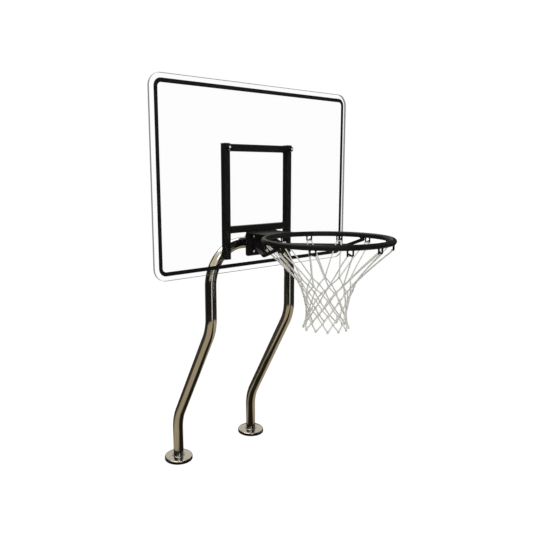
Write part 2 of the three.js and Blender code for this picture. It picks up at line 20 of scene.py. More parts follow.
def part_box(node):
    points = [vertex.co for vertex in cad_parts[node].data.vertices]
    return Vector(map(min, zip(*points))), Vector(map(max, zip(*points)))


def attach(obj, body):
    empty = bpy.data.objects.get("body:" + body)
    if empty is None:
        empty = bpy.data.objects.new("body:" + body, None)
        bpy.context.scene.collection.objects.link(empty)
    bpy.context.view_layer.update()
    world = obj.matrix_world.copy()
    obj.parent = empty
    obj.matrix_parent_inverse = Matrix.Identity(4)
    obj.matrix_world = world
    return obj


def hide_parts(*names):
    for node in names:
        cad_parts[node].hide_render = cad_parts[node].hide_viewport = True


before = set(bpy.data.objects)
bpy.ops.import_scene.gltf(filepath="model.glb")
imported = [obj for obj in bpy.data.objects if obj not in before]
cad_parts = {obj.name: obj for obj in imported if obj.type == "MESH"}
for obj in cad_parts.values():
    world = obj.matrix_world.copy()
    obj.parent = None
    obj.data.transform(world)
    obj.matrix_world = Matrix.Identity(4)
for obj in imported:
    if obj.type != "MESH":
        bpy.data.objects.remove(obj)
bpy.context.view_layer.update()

log = logging.getLogger("hoop")
Array = np.ndarray
Colour = tuple[float, float, float]
TURN = 2 * math.pi
QUARTER = math.pi / 2
AXES = np.eye(3)
X_AXIS, Y_AXIS, Z_AXIS = AXES
SAME_POINT = 1e-6
SHARP_ANGLE = math.radians(38)
BALL_TIP = 0.12
BALL_ROWS = 6
THREAD_DEPTH = 0.55
FACE_SHARE = 0.985
CHAMFER_TURN = math.radians(30)
RIPPLE_SPACING = 2.2
RIPPLE_SWELL = 0.1
CARD_STEP = 12
CARDS_MIDDLE = -0.3


class Body(Enum):
    """The parts of the hoop that move as one."""

    STAND = "stand"
    PLATE_LEFT = "cover_plate_left"
    PLATE_RIGHT = "cover_plate_right"


class Slot(Enum):
    """The record's finishes."""

    TUBE = "tube_stainless"
    DECK_PLATE = "plate_stainless"
    BOARD = "board_clear"
    INK = "border_ink"
    BRACKET = "bracket_coat"
    RIM = "rim_coat"
    CAP = "cap_plastic"
    FASTENER = "fastener_steel"
    CORD = "net_cord"


class Side(Enum):
    """The two sides of the hoop as the board's front is looked at."""

    LEFT = -1
    RIGHT = 1

    @property
    def word(self) -> str:
        """The side's name in a piece's name."""
        return self.name.lower()


# Surfaces as arrays of points


@dataclass
class Patch:
    """Points, the faces between them, and what each face corner and point carries."""

    points: Array
    faces: Array
    uv: Array | None = None
    edge: Array | None = None
    finish: int = 0


def unit(vectors: Array) -> Array:
    """Vectors over their own lengths."""
    return vectors / np.linalg.norm(vectors, axis=-1, keepdims=True)


def distances(points: Array) -> Array:
    """How far each point is from the first, along the line through them."""
    steps = np.linalg.norm(np.diff(points, axis=0), axis=1)
    return np.concatenate([[0.0], np.cumsum(steps)])


def spokes(first: Array, second: Array, count: int) -> Array:
    """Directions round a section: cos a times its first direction plus sin a times its second."""
    angle = np.arange(count)[:, None] / count * TURN
    return np.cos(angle) * first[..., None, :] + np.sin(angle) * second[..., None, :]


def grid_patch(points: Array, around: float = 1.0, along: Array | None = None,
               wrap_rows: bool = False) -> Patch:
    """A grid of points as quads, closed across its columns.

    Row i and column j are joined to row i + 1 and column j + 1. The last column meets the first.

    Args:
        points: rows by columns by 3.
        around: how far the map runs across the columns.
        along: the map's height of each row, or None for the row's number.
        wrap_rows: whether the last row meets the first as well.

    Returns:
        The patch, with a map whose u runs across the columns and v along the rows.
    """
    rows, columns = points.shape[:2]
    heights = np.arange(rows, dtype=float) if along is None else np.asarray(along, dtype=float)
    last = rows if wrap_rows else rows - 1
    row, column = np.meshgrid(np.arange(last), np.arange(columns), indexing="ij")
    row, column = row.ravel(), column.ravel()
    next_row, next_column = (row + 1) % rows, (column + 1) % columns
    faces = np.stack([
        row * columns + column,
        row * columns + next_column,
        next_row * columns + next_column,
        next_row * columns + column,
    ], axis=1)
    heights = np.append(heights, 2 * heights[-1] - heights[-2])
    left, right = column / columns * around, (column + 1) / columns * around
    low, high = heights[row], heights[row + 1]
    corners = ((left, low), (right, low), (right, high), (left, high))
    uv = np.stack([np.stack(corner, axis=1) for corner in corners], axis=1)
    return Patch(points.reshape(-1, 3), faces, uv)


def closed_ends(rows: Array) -> list[Patch]:
    """The flat faces that close the first and the last ring of a wall."""
    order = np.arange(rows.shape[1])[None, :]
    return [Patch(rows[0], order[:, ::-1]), Patch(rows[-1], order)]


def arc(centre: Sequence[float], radius: float, start: float, end: float, steps: int) -> Array:
    """Points on an arc: centre plus radius times the cosine and sine of evenly spaced angles."""
    angle = np.linspace(start, end, steps + 1)
    return np.stack([centre[0] + radius * np.cos(angle), centre[1] + radius * np.sin(angle)], axis=1)


def round_rectangle(width: float, height: float, corner: float, steps: int = 8) -> Array:
    """A rectangle centred on the origin, anticlockwise, with a quarter circle at each corner."""
    x, y = width / 2 - corner, height / 2 - corner
    centres = ((x, y), (-x, y), (-x, -y), (x, -y))
    return np.concatenate([
        arc(centre, corner, number * QUARTER, (number + 1) * QUARTER, steps)
        for number, centre in enumerate(centres)
    ])


def circle(centre: Sequence[float], radius: float, steps: int = 32) -> Array:
    """A circle as an anticlockwise loop of points."""
    return arc(centre, radius, 0, TURN * (1 - 1 / steps), steps - 1)


def drawn_in(loop: Array, distance: float) -> Array:
    """A loop moved towards its left by a distance.

    Each point moves along the sum of its two edges' left normals, divided by one plus their
    product, which keeps both edges at the distance.
    """
    after = unit(np.roll(loop, -1, axis=0) - loop)
    before = np.roll(after, 1, axis=0)
    left_after = np.stack([-after[:, 1], after[:, 0]], axis=1)
    left_before = np.stack([-before[:, 1], before[:, 0]], axis=1)
    share = 1 + np.sum(left_after * left_before, axis=1, keepdims=True)
    return loop + distance * (left_after + left_before) / share


@dataclass(frozen=True)
class Bench:
    """Where an outline is drawn: its origin and the directions of its two axes and its depth."""

    origin: Array
    across: Array
    up: Array

    @property
    def deep(self) -> Array:
        """The direction in which the outline is given its thickness."""
        return np.cross(self.across, self.up)

    def place(self, flat: Array, depth: float) -> Array:
        """Points of the outline at one depth."""
        return self.origin + flat[:, :1] * self.across + flat[:, 1:] * self.up + depth * self.deep


def plate(loops: Sequence[Array], thickness: float, bench: Bench, bevel: float,
          rounds: int = 3, edge_finish: int = 0) -> list[Patch]:
    """A flat piece with rounded arrises and holes.

    Ring k of an arris lies at bevel times (1 - sin a) inside the outline and at
    bevel times (1 - cos a) below the face, where a runs from zero to a quarter turn.

    Args:
        loops: the outline, anticlockwise, then the holes, anticlockwise too.
        thickness: from the face at depth zero to the other face.
        bench: where the outline lies.
        bevel: radius of the arris.
        rounds: faces across one arris.
        edge_finish: number of the finish on the walls, where the faces have finish 0.

    Returns:
        The walls, one patch for each loop, and the two faces.
    """
    loops = [loops[0]] + [hole[::-1] for hole in loops[1:]]
    angle = np.linspace(0, QUARTER, rounds + 1)
    inset = bevel * (1 - np.sin(angle))
    depth = bevel * (1 - np.cos(angle))
    insets = np.concatenate([inset, inset[::-1]])
    depths = np.concatenate([depth, thickness - depth[::-1]])
    wear = np.tile(np.sin(2 * angle), 2)
    patches = []
    for loop in loops:
        rings = np.stack([bench.place(drawn_in(loop, step), deep) for step, deep in zip(insets, depths)])
        girth = float(np.sum(np.linalg.norm(np.roll(loop, -1, axis=0) - loop, axis=1)))
        wall = grid_patch(rings, around=girth, along=depths)
        wall.edge = np.repeat(wear, len(loop))
        wall.finish = edge_finish
        patches.append(wall)
    rims = [drawn_in(loop, bevel) for loop in loops]
    flat = np.concatenate(rims)
    faces = np.array(tessellate_polygon([[Vector((*point, 0)) for point in rim] for rim in rims]))
    a, b, c = (flat[faces[:, i]] for i in range(3))
    sign = (b[:, 0] - a[:, 0]) * (c[:, 1] - a[:, 1]) - (b[:, 1] - a[:, 1]) * (c[:, 0] - a[:, 0])
    faces = np.where(sign[:, None] > 0, faces, faces[:, ::-1])
    for turn, deep in ((-1, 0.0), (1, thickness)):
        corners = faces[:, ::turn]
        patches.append(Patch(bench.place(flat, deep), corners, flat[corners]))
    return patches


def turned(radii: Array, heights: Array, bench: Bench, sides: int = 32,
           closed: bool = False) -> list[Patch]:
    """A piece turned on a lathe: a profile of radii and heights carried round the bench's depth.

    Args:
        radii: a radius for each row, or for each row and column where the section isn't round.
        heights: each row's place along the axis.
        bench: the axis and where its angle starts.
        sides: columns, where the radii have none.
        closed: whether the profile closes on itself, as on a ring, and has no end faces.

    Returns:
        The wall and its end faces.
    """
    rows = np.asarray(radii, dtype=float)
    if rows.ndim == 1:
        rows = np.repeat(rows[:, None], sides, axis=1)
    points = (bench.origin + rows[:, :, None] * spokes(bench.across, bench.up, rows.shape[1])
              + heights[:, None, None] * bench.deep)
    steps = np.hypot(np.diff(heights), np.diff(rows.mean(axis=1)))
    along = np.concatenate([[0.0], np.cumsum(np.maximum(steps, SAME_POINT))])
    wall = grid_patch(points, around=float(TURN * rows.max()), along=along, wrap_rows=closed)
    return [wall] if closed else [wall, *closed_ends(points)]


# Routes and what is carried along them


@dataclass
class Route:
    """Stations along a bent line, with the directions that a section is drawn on."""

    points: Array
    along: Array
    side: Array

    @property
    def up(self) -> Array:
        """The second direction of the section at each station."""
        return np.cross(self.along, self.side)


def turned_about(vector: Array, axis: Array, angle: Array) -> Array:
    """A vector turned about an axis, for each angle.

    The part along the axis stays, and the rest turns: v cos a + (k x v) sin a + k (k.v)(1 - cos a).
    """
    cos, sin = np.cos(angle)[:, None], np.sin(angle)[:, None]
    return vector * cos + np.cross(axis, vector) * sin + axis * np.dot(axis, vector) * (1 - cos)


def bent_route(corners: Sequence[Array], radii: Sequence[float], side: Array,
               step: float = math.radians(3), run_step: float = 0.05) -> Route:
    """Straight runs joined by arcs that touch both runs.

    An arc of radius r through a turn t starts r tan(t/2) before its corner. The section's
    directions turn about the arc's own axis, so the line never twists.

    Args:
        corners: where the straight runs would meet, ends included.
        radii: the bend's radius at each corner between the ends.
        side: the section's first direction at the start.
        step: the turn between two stations of an arc.
        run_step: the most between two stations of a straight run.

    Returns:
        The route.
    """
    stretches = []
    heading = unit(corners[1] - corners[0])
    sideways = unit(side - heading * np.dot(side, heading))
    start = corners[0]

    def run_to(end: Array, last: bool) -> None:
        """Adds the stations of a straight run. Only the last run has one at its end."""
        count = max(1, math.ceil(np.linalg.norm(end - start) / run_step)) + last
        share = np.linspace(0, 1, count, endpoint=last)[:, None]
        same = np.ones_like(share)
        stretches.append((start + share * (end - start), same * heading, same * sideways))

    for corner, after, radius in zip(corners[1:-1], corners[2:], radii):
        onward = unit(after - corner)
        turn = math.acos(float(np.clip(np.dot(heading, onward), -1, 1)))
        reach = radius * math.tan(turn / 2)
        begin = corner - heading * reach
        run_to(begin, False)
        axis = unit(np.cross(heading, onward))
        inward = np.cross(axis, heading)
        centre = begin + inward * radius
        angle = np.linspace(0, turn, max(2, math.ceil(turn / step) + 1))
        points = centre + turned_about(-inward * radius, axis, angle)
        along = turned_about(heading, axis, angle)
        sides = turned_about(sideways, axis, angle)
        stretches.append((points[:-1], along[:-1], sides[:-1]))
        start, sideways, heading = points[-1], sides[-1], onward
    run_to(corners[-1], True)
    return Route(*(np.concatenate(parts) for parts in zip(*stretches)))


def smooth_route(knots: Array, reference: Array, steps: int = 5) -> Route:
    """A curve through a few points, each stretch a cubic whose ends head along their neighbours.

    Args:
        knots: the points.
        reference: a direction that the curve never follows; the section keeps to it.
        steps: stations in each stretch.

    Returns:
        The route.
    """
    padded = np.concatenate([[2 * knots[0] - knots[1]], knots, [2 * knots[-1] - knots[-2]]])
    t = np.linspace(0, 1, steps, endpoint=False)[None, :, None]
    p0, p1, p2, p3 = (padded[i:len(padded) - 3 + i, None, :] for i in range(4))
    cubic = 0.5 * (2 * p1 + (p2 - p0) * t + (2 * p0 - 5 * p1 + 4 * p2 - p3) * t ** 2
                   + (3 * p1 - p0 - 3 * p2 + p3) * t ** 3)
    points = np.concatenate([cubic.reshape(-1, 3), knots[-1:]])
    along = unit(np.gradient(points, axis=0))
    side = unit(reference - along * np.sum(along * reference, axis=1, keepdims=True))
    return Route(points, along, side)


def ring_route(centre: Array, radius: float, steps: int, start: float = 0.0, end: float = TURN) -> Route:
    """An arc about the vertical, its section drawn outwards and upwards.

    Where the arc is a whole circle its last station is left out.
    """
    whole = end - start >= TURN
    angle = np.linspace(start, end, steps, endpoint=not whole)
    outward = np.stack([np.cos(angle), np.sin(angle), np.zeros_like(angle)], axis=1)
    along = np.stack([-np.sin(angle), np.cos(angle), np.zeros_like(angle)], axis=1)
    return Route(centre + radius * outward, along, outward)


def collar_route(centre: Array, axis: Array, radius: float, steps: int = 48) -> Route:
    """A circle round an axis: centre + r (cos a s + sin a t), with s and t across the axis."""
    first = unit(np.cross(axis, X_AXIS))
    second = np.cross(axis, first)
    outward = spokes(first, second, steps)
    return Route(centre + radius * outward, spokes(second, -first, steps), outward)


def rod(route: Route, radius: float | Array, sides: int = 16, closed: bool = False,
        round_ends: bool = False, map_length: float = 1.0) -> list[Patch]:
    """A round section carried along a route: centre + r (cos a side + sin a up).

    Args:
        route: the centre line.
        radius: one radius, or one for each station.
        sides: points round the section.
        closed: whether the route closes on itself.
        round_ends: whether each end is a half ball instead of a flat face.
        map_length: the length of route that one unit of the map's v stands for.

    Returns:
        The wall and its ends.
    """
    points, along, side, up = route.points, route.along, route.side, route.up
    radii = np.broadcast_to(radius, len(points)).astype(float)
    if round_ends:
        bend = np.linspace(QUARTER, BALL_TIP, BALL_ROWS)[1:]
        drop, reach = np.sin(bend), np.cos(bend)
        points = np.concatenate([
            points[:1] - radii[0] * reach[::-1, None] * along[:1],
            points,
            points[-1:] + radii[-1] * reach[:, None] * along[-1:],
        ])
        spread = ((len(bend), len(bend)), (0, 0))
        side, up = np.pad(side, spread, mode="edge"), np.pad(up, spread, mode="edge")
        radii = np.concatenate([radii[0] * drop[::-1], radii, radii[-1] * drop])
    rows = points[:, None, :] + radii[:, None, None] * spokes(side, up, sides)
    wall = grid_patch(rows, along=distances(points) / map_length, wrap_rows=closed)
    return [wall] if closed else [wall, *closed_ends(rows)]


def weld_bead(route: Route, radius: float, closed: bool = False) -> list[Patch]:
    """A weld along a route: a rod whose radius swells at each ripple of the weld pool."""
    phase = math.pi * distances(route.points) / (RIPPLE_SPACING * radius)
    swell = 1 + RIPPLE_SWELL * np.abs(np.sin(phase))
    return rod(route, radius * swell, sides=10, closed=closed, round_ends=not closed)


def straight_bead(start: Array, end: Array, radius: float) -> list[Patch]:
    """A weld from one point to another."""
    return weld_bead(bent_route([start, end], [], Z_AXIS, run_step=radius / 2), radius)


def bolt_thread(radius: float, heights: Array, pitch: float, columns: int) -> Array:
    """Radii of a screw thread: the crest less a share of the pitch that follows a triangle wave.

    The wave's phase is the height over the pitch less the angle in turns, so the ridge climbs
    one pitch in each turn.
    """
    turn = np.arange(columns)[None, :] / columns
    wave = 2 * np.abs((heights[:, None] / pitch - turn) % 1 - 0.5)
    return radius - THREAD_DEPTH * pitch * (1 - wave)


def hexagon_radii(across_flats: float, columns: int) -> Array:
    """A hexagon's radius at each angle: half its width over the cosine of the angle from a flat."""
    angle = np.arange(columns) / columns * TURN
    from_flat = (angle + math.pi / 6) % (math.pi / 3) - math.pi / 6
    return across_flats / 2 / np.cos(from_flat)


def chamfered(across_flats: float, columns: int, depth: Array) -> Array:
    """Rows of a hexagon under a 30 degree cone: at each place the smaller of their two radii.

    Args:
        across_flats: the hexagon's width.
        columns: points round the section.
        depth: each row's distance from the nearer chamfered face.

    Returns:
        Rows by columns.
    """
    cone = across_flats / 2 * FACE_SHARE + depth / math.tan(CHAMFER_TURN)
    return np.minimum(hexagon_radii(across_flats, columns)[None, :], cone[:, None])


# Finishes


def maths(operation: str, number_first: bool = False) -> Callable[..., "Signal"]:
    """A method that adds one Math node.

    Args:
        operation: the node's operation.
        number_first: whether the other value comes before the signal.

    Returns:
        The method, which takes the other value if the operation has one.
    """
    def method(self: "Signal", *other: "Signal | float") -> "Signal":
        """The result of the node."""
        values = (*other, self) if number_first else (self, *other)
        return self.nodes.add("ShaderNodeMath", {"operation": operation}, dict(enumerate(values)))
    return method


class Signal:
    """A number or a colour that changes over a surface. Arithmetic on a number adds Math nodes."""

    __add__ = maths("ADD")
    __radd__ = maths("ADD", number_first=True)
    __sub__ = maths("SUBTRACT")
    __rsub__ = maths("SUBTRACT", number_first=True)
    __mul__ = maths("MULTIPLY")
    __rmul__ = maths("MULTIPLY", number_first=True)
    __pow__ = maths("POWER")
    sine = maths("SINE")
    size = maths("ABSOLUTE")
    larger = maths("MAXIMUM")
    smaller = maths("MINIMUM")

    def __init__(self, nodes: "NodeTable", socket: bpy.types.NodeSocket) -> None:
        """Wraps one output socket."""
        self.nodes = nodes
        self.socket = socket

    def clipped(self) -> "Signal":
        """The number held between zero and one."""
        return self.larger(0.0).smaller(1.0)

    def stretched(self, gain: float, cut: float) -> "Signal":
        """The number times a gain and less a cut, held between zero and one."""
        return (self * gain - cut).clipped()

    def output(self, name: str) -> "Signal":
        """Another output of the same node."""
        return Signal(self.nodes, self.socket.node.outputs[name])


class NodeTable:
    """The nodes of one material or of the world."""

    def __init__(self, owner: bpy.types.Material | bpy.types.World) -> None:
        """Starts without nodes."""
        self.owner = owner
        owner.use_nodes = True
        self.tree = owner.node_tree
        self.tree.nodes.clear()

    def add(self, kind: str, settings: dict | None = None, inputs: dict | None = None,
            output: str | int = 0) -> Signal:
        """Adds a node.

        Args:
            kind: the node's type.
            settings: attributes, set first.
            inputs: sockets by name or number, each a value or a Signal.
            output: which of the node's outputs is wanted.

        Returns:
            The output.
        """
        node = self.tree.nodes.new(kind)
        for key, value in (settings or {}).items():
            setattr(node, key, value)
        for key, value in (inputs or {}).items():
            if isinstance(value, Signal):
                self.tree.links.new(value.socket, node.inputs[key])
            else:
                node.inputs[key].default_value = value
        return Signal(self, node.outputs[output])

    def ended(self, shader: Signal) -> bpy.types.Material | bpy.types.World:
        """Ends the nodes in a shader and gives back what they belong to."""
        kind = "World" if isinstance(self.owner, bpy.types.World) else "Material"
        node = self.tree.nodes.new(f"ShaderNodeOutput{kind}")
        self.tree.links.new(shader.socket, node.inputs["Surface"])
        return self.owner

    def principled(self, **inputs: Signal | float) -> bpy.types.Material:
        """Ends the material in a Principled shader. An input's name has _ for each space."""
        named = {name.replace("_", " "): value for name, value in inputs.items()}
        return self.ended(self.add("ShaderNodeBsdfPrincipled", None, named))

    def emission(self, colour: Signal | Colour) -> Signal:
        """A plain light of one colour."""
        return self.add("ShaderNodeEmission", None, {"Color": rgba(colour), "Strength": 1.0})

    def place(self) -> Signal:
        """Object coordinates."""
        return self.add("ShaderNodeTexCoord", output="Object")

    def map(self, stretch: Sequence[float] = (1.0, 1.0, 1.0)) -> Signal:
        """The piece's own map, stretched along each axis."""
        source = self.add("ShaderNodeUVMap", {"uv_map": "surface"})
        return self.add("ShaderNodeMapping", None, {"Vector": source, "Scale": tuple(stretch)})

    def edge(self) -> Signal:
        """The pieces' own attribute that is one on an arris."""
        return self.add("ShaderNodeAttribute", {"attribute_name": "edge"}, output="Fac")

    def split(self, vector: Signal) -> list[Signal]:
        """The three numbers of a vector."""
        parts = self.add("ShaderNodeSeparateXYZ", None, {"Vector": vector})
        return [parts.output(name) for name in "XYZ"]

    def noise(self, scale: float, detail: float = 3.0, rough: float = 0.55,
              where: Signal | None = None) -> Signal:
        """Noise between zero and one, over object coordinates if no place is given."""
        return self.add("ShaderNodeTexNoise", None, {
            "Vector": where or self.place(), "Scale": scale, "Detail": detail, "Roughness": rough,
        })

    def blend(self, share: Signal, first: Signal | Colour, second: Colour) -> Signal:
        """A colour between two colours."""
        inputs = {0: share, 6: rgba(first), 7: rgba(second)}
        return self.add("ShaderNodeMix", {"data_type": "RGBA"}, inputs, output=2)

    def bump(self, height: Signal, depth: float, strength: float = 1.0) -> Signal:
        """A normal from a height in shares of a depth in metres."""
        inputs = {"Height": height, "Distance": depth, "Strength": strength}
        return self.add("ShaderNodeBump", None, inputs)

    def seen(self) -> Signal:
        """One where the camera, gloss and glass look, and zero for the light that falls."""
        path = self.add("ShaderNodeLightPath")
        rays = ("Camera", "Glossy", "Transmission")
        camera, glossy, clear = (path.output(f"Is {ray} Ray") for ray in rays)
        return camera.larger(glossy).larger(clear)


def rgba(colour: Signal | Colour) -> Signal | tuple[float, ...]:
    """A colour as a socket takes it."""
    return colour if isinstance(colour, Signal) else (*colour, 1.0)


@dataclass(frozen=True)
class Finish:
    """A named material, built when it is first asked for."""

    name: str

    def shaded(self, nodes: NodeTable) -> bpy.types.Material:
        """Adds the nodes and gives the material back."""
        raise NotImplementedError

    def material(self) -> bpy.types.Material:
        """The material, the same one each time."""
        known = bpy.data.materials.get(self.name)
        return known or self.shaded(NodeTable(bpy.data.materials.new(self.name)))


@dataclass(frozen=True)
class PolishedStainless(Finish):
    """Stainless steel with a mirror polish that has gone slightly hazy."""

    colour: Colour = (0.66, 0.64, 0.6)
    haze: Colour = (0.56, 0.53, 0.48)
    roughness: float = 0.07
    grain: float = 240.0
    relief: float = 0.6
    line_depth: float = 0.00002
    line_share: float = 0.7
    dulling: float = 0.05
    mark_level: float = 0.62
    mark_gain: float = 1.5
    mark_dulling: float = 0.25

    def shaded(self, nodes: NodeTable) -> bpy.types.Material:
        """Long polishing lines, faint water marks and a soft haze."""
        cloud = nodes.noise(scale=9.0, detail=4.0)
        marks = nodes.noise(scale=70.0, detail=2.0)
        along = nodes.map((self.grain * 4, self.grain / 6, 1.0))
        lines = nodes.noise(scale=1.0, detail=2.0, where=along)
        dull_marks = ((marks - self.mark_level) * self.mark_gain).clipped()
        height = lines * self.line_share + cloud * (1 - self.line_share)
        return nodes.principled(
            Base_Color=nodes.blend(cloud.stretched(gain=1.6, cut=0.45), self.colour, self.haze),
            Metallic=1.0,
            Roughness=(self.roughness + cloud * self.dulling + lines * self.dulling
                       + dull_marks * self.mark_dulling),
            Normal=nodes.bump(height, self.line_depth, self.relief),
        )


@dataclass(frozen=True)
class PowderCoat(Finish):
    """Black powder coat: a fine orange peel, rubbed brighter on its arrises."""

    colour: Colour = (0.004, 0.004, 0.0042)
    rubbed: Colour = (0.02, 0.0195, 0.0185)
    roughness: float = 0.38
    specular: float = 0.14
    flat_wear: float = 0.35
    dust_dulling: float = 0.16
    wear_dulling: float = 0.1

    def shaded(self, nodes: NodeTable) -> bpy.types.Material:
        """A peel, dust and wear where the pieces' own edge attribute is high."""
        peel = nodes.noise(scale=420.0, detail=2.0)
        dust = nodes.noise(scale=16.0, detail=5.0, rough=0.65)
        scuff = nodes.noise(scale=130.0, detail=4.0, rough=0.7)
        on_edge = nodes.edge() * scuff.stretched(gain=3.2, cut=1.15)
        wear = (on_edge + scuff.stretched(gain=4.0, cut=2.75) * self.flat_wear).clipped()
        return nodes.principled(
            Base_Color=nodes.blend(wear, self.colour, self.rubbed),
            Roughness=self.roughness + dust * self.dust_dulling + wear * self.wear_dulling,
            Specular_IOR_Level=self.specular,
            Normal=nodes.bump(peel, depth=0.00012, strength=0.35),
        )


@dataclass(frozen=True)
class MouldedPlastic(Finish):
    """Black plastic with the fine spark texture of its mould."""

    colour: Colour = (0.022, 0.022, 0.023)
    faded: Colour = (0.05, 0.05, 0.052)
    roughness: float = 0.5
    spark_dulling: float = 0.18

    def shaded(self, nodes: NodeTable) -> bpy.types.Material:
        """Spark marks and a slow fading."""
        spark = nodes.noise(scale=1500.0, detail=2.0)
        fade = nodes.noise(scale=60.0, detail=4.0)
        return nodes.principled(
            Base_Color=nodes.blend(fade.stretched(gain=1.8, cut=0.5), self.colour, self.faded),
            Roughness=self.roughness + spark * self.spark_dulling,
            Normal=nodes.bump(spark, depth=0.00008, strength=0.5),
        )


@dataclass(frozen=True)
class FastenerSteel(Finish):
    """Dark-finished bolts and nuts, with fine turning lines and a little staining.

    A dome's crown carries a painted highlight, a pale spot as far as `crown` along the piece's own map.
    """

    colour: Colour = (0.03, 0.03, 0.031)
    stained: Colour = (0.016, 0.015, 0.014)
    zinc: Colour = (0.52, 0.52, 0.5)
    crown: float = -0.01
    crown_gain: float = 1400.0
    crown_stain: float = 1.2
    crown_cut: float = 0.3
    crown_dark: float = 0.8
    roughness: float = 0.24
    stain_dulling: float = 0.16
    grain_dulling: float = 0.06
    crown_dulling: float = 0.2

    def shaded(self, nodes: NodeTable) -> bpy.types.Material:
        """Stain and grain, and the painted highlight on the crown of a dome."""
        along = nodes.split(nodes.map())[1]
        stain = nodes.noise(scale=190.0, detail=5.0, rough=0.65)
        grain = nodes.noise(scale=1400.0, detail=2.0)
        # Painted highlight: a pale, less metallic spot on a dome's crown, its edge broken by the stain
        # noise.
        past_crown = (self.crown - along) * self.crown_gain
        rubbed = (past_crown + stain * self.crown_stain - self.crown_cut).clipped()
        dark = nodes.blend(stain.stretched(gain=2.4, cut=0.95), self.colour, self.stained)
        return nodes.principled(
            Base_Color=nodes.blend(rubbed, dark, self.zinc),
            Metallic=1 - rubbed * self.crown_dark,
            Roughness=(self.roughness + stain * self.stain_dulling + grain * self.grain_dulling
                       + rubbed * self.crown_dulling),
            Normal=nodes.bump(grain, depth=0.00004, strength=0.4),
        )


@dataclass(frozen=True)
class PrintInk(Finish):
    """Screen-printed ink with its mesh's slight unevenness."""

    colour: Colour = (0.0022, 0.0022, 0.0024)
    thin: Colour = (0.006, 0.006, 0.0064)
    specular: float = 0.12
    roughness: float = 0.42
    screen_dulling: float = 0.2

    def shaded(self, nodes: NodeTable) -> bpy.types.Material:
        """The screen's fine relief and a slow change in the ink's thickness."""
        screen = nodes.noise(scale=900.0, detail=2.0)
        flow = nodes.noise(scale=25.0, detail=3.0)
        return nodes.principled(
            Base_Color=nodes.blend(flow.stretched(gain=1.6, cut=0.5), self.colour, self.thin),
            Roughness=self.roughness + screen * self.screen_dulling,
            Specular_IOR_Level=self.specular,
            Normal=nodes.bump(screen, depth=0.00003, strength=0.4),
        )


@dataclass(frozen=True)
class ClearSheet(Finish):
    """The faces of the clear board: nearly nothing but a thin reflection."""

    gloss: Colour = (0.8, 0.84, 0.83)
    reflection_share: float = 0.25
    roughness: float = 0.02
    smear_dulling: float = 0.05

    def shaded(self, nodes: NodeTable) -> bpy.types.Material:
        """A clear shader, mixed with a gloss.

        The gloss's share is 0.04 + 0.96 f^5, where f runs from zero face on to one edge on.
        """
        facing = nodes.add("ShaderNodeLayerWeight", None, {"Blend": 0.5}, output="Facing")
        smears = nodes.noise(scale=7.0, detail=5.0, rough=0.6)
        gloss = nodes.add("ShaderNodeBsdfPrincipled", None, {
            "Base Color": rgba(self.gloss),
            "Roughness": self.roughness + smears * self.smear_dulling,
            "Metallic": 1.0,
        })
        clear = nodes.add("ShaderNodeBsdfTransparent", None, {"Color": (1.0, 1.0, 1.0, 1.0)})
        share = (0.04 + facing ** 5 * 0.96) * self.reflection_share
        return nodes.ended(nodes.add("ShaderNodeMixShader", None, {0: share, 1: clear, 2: gloss}))


@dataclass(frozen=True)
class ClearEdge(Finish):
    """The sawn and flame-polished edge of the clear board, with painted shade: dark grey, darkest at its
    arrises.
    """

    # Painted reflection: the dark grey stands in for the dark surroundings that a clear edge reflects
    # inside it.
    colour: Colour = (0.06, 0.068, 0.066)
    arris: Colour = (0.015, 0.018, 0.018)
    saw_stretch: tuple[float, float, float] = (90.0, 4.0, 1.0)
    arris_dark: float = 1.2
    saw_dark: float = 0.2
    roughness: float = 0.12
    saw_dulling: float = 0.12
    opacity: float = 0.78
    dark_opacity: float = 0.2

    def shaded(self, nodes: NodeTable) -> bpy.types.Material:
        """Painted shade: grey between the arrises and darker on them, with fine saw lines."""
        saw = nodes.noise(scale=8.0, detail=3.0, where=nodes.map(self.saw_stretch))
        # Painted shade on the arrises, plus real saw lines; both also make the edge less clear.
        dark = (nodes.edge() * self.arris_dark + saw * self.saw_dark).clipped()
        return nodes.principled(
            Base_Color=nodes.blend(dark, self.colour, self.arris),
            Roughness=self.roughness + saw * self.saw_dulling,
            Alpha=(self.opacity + dark * self.dark_opacity).clipped(),
            Normal=nodes.bump(saw, depth=0.00005, strength=0.5),
        )


@dataclass(frozen=True)
class BraidedCord(Finish):
    """White braided cord: two sets of strands that cross in diamonds round the cord."""

    # Greyer than white nylon: the colour paints in part of the shade the cord sits in. The second colour
    # is painted groove shade and soil.
    colour: Colour = (0.46, 0.45, 0.415)
    shaded_colour: Colour = (0.2, 0.195, 0.175)
    strands: int = 4
    soil_share: float = 0.45
    fuzz_share: float = 0.15
    roughness: float = 0.78
    sheen: float = 0.25
    specular: float = 0.25
    strand_share: float = 0.8

    def shaded(self, nodes: NodeTable) -> bpy.types.Material:
        """The braid, from the cord's own map: u goes round the cord and v along it. The grooves carry
        painted shade.
        """
        around, along, _ = nodes.split(nodes.map())
        one_way = ((around * self.strands + along) * math.pi).sine().size()
        other_way = ((around * self.strands - along) * math.pi).sine().size()
        relief = one_way.larger(other_way)
        fuzz = nodes.noise(scale=1800.0, detail=3.0, rough=0.7)
        soil = nodes.noise(scale=14.0, detail=4.0, rough=0.6)
        soiled = soil.stretched(gain=1.5, cut=0.55) * self.soil_share
        # Painted shade in the grooves between strands, plus real soil and fuzz.
        tone = (1 - relief + soiled + fuzz * self.fuzz_share).clipped()
        height = relief * self.strand_share + fuzz * (1 - self.strand_share)
        return nodes.principled(
            Base_Color=nodes.blend(tone, self.colour, self.shaded_colour),
            Roughness=self.roughness,
            Sheen_Weight=self.sheen,
            Specular_IOR_Level=self.specular,
            Normal=nodes.bump(height, depth=0.0006, strength=0.7),
        )


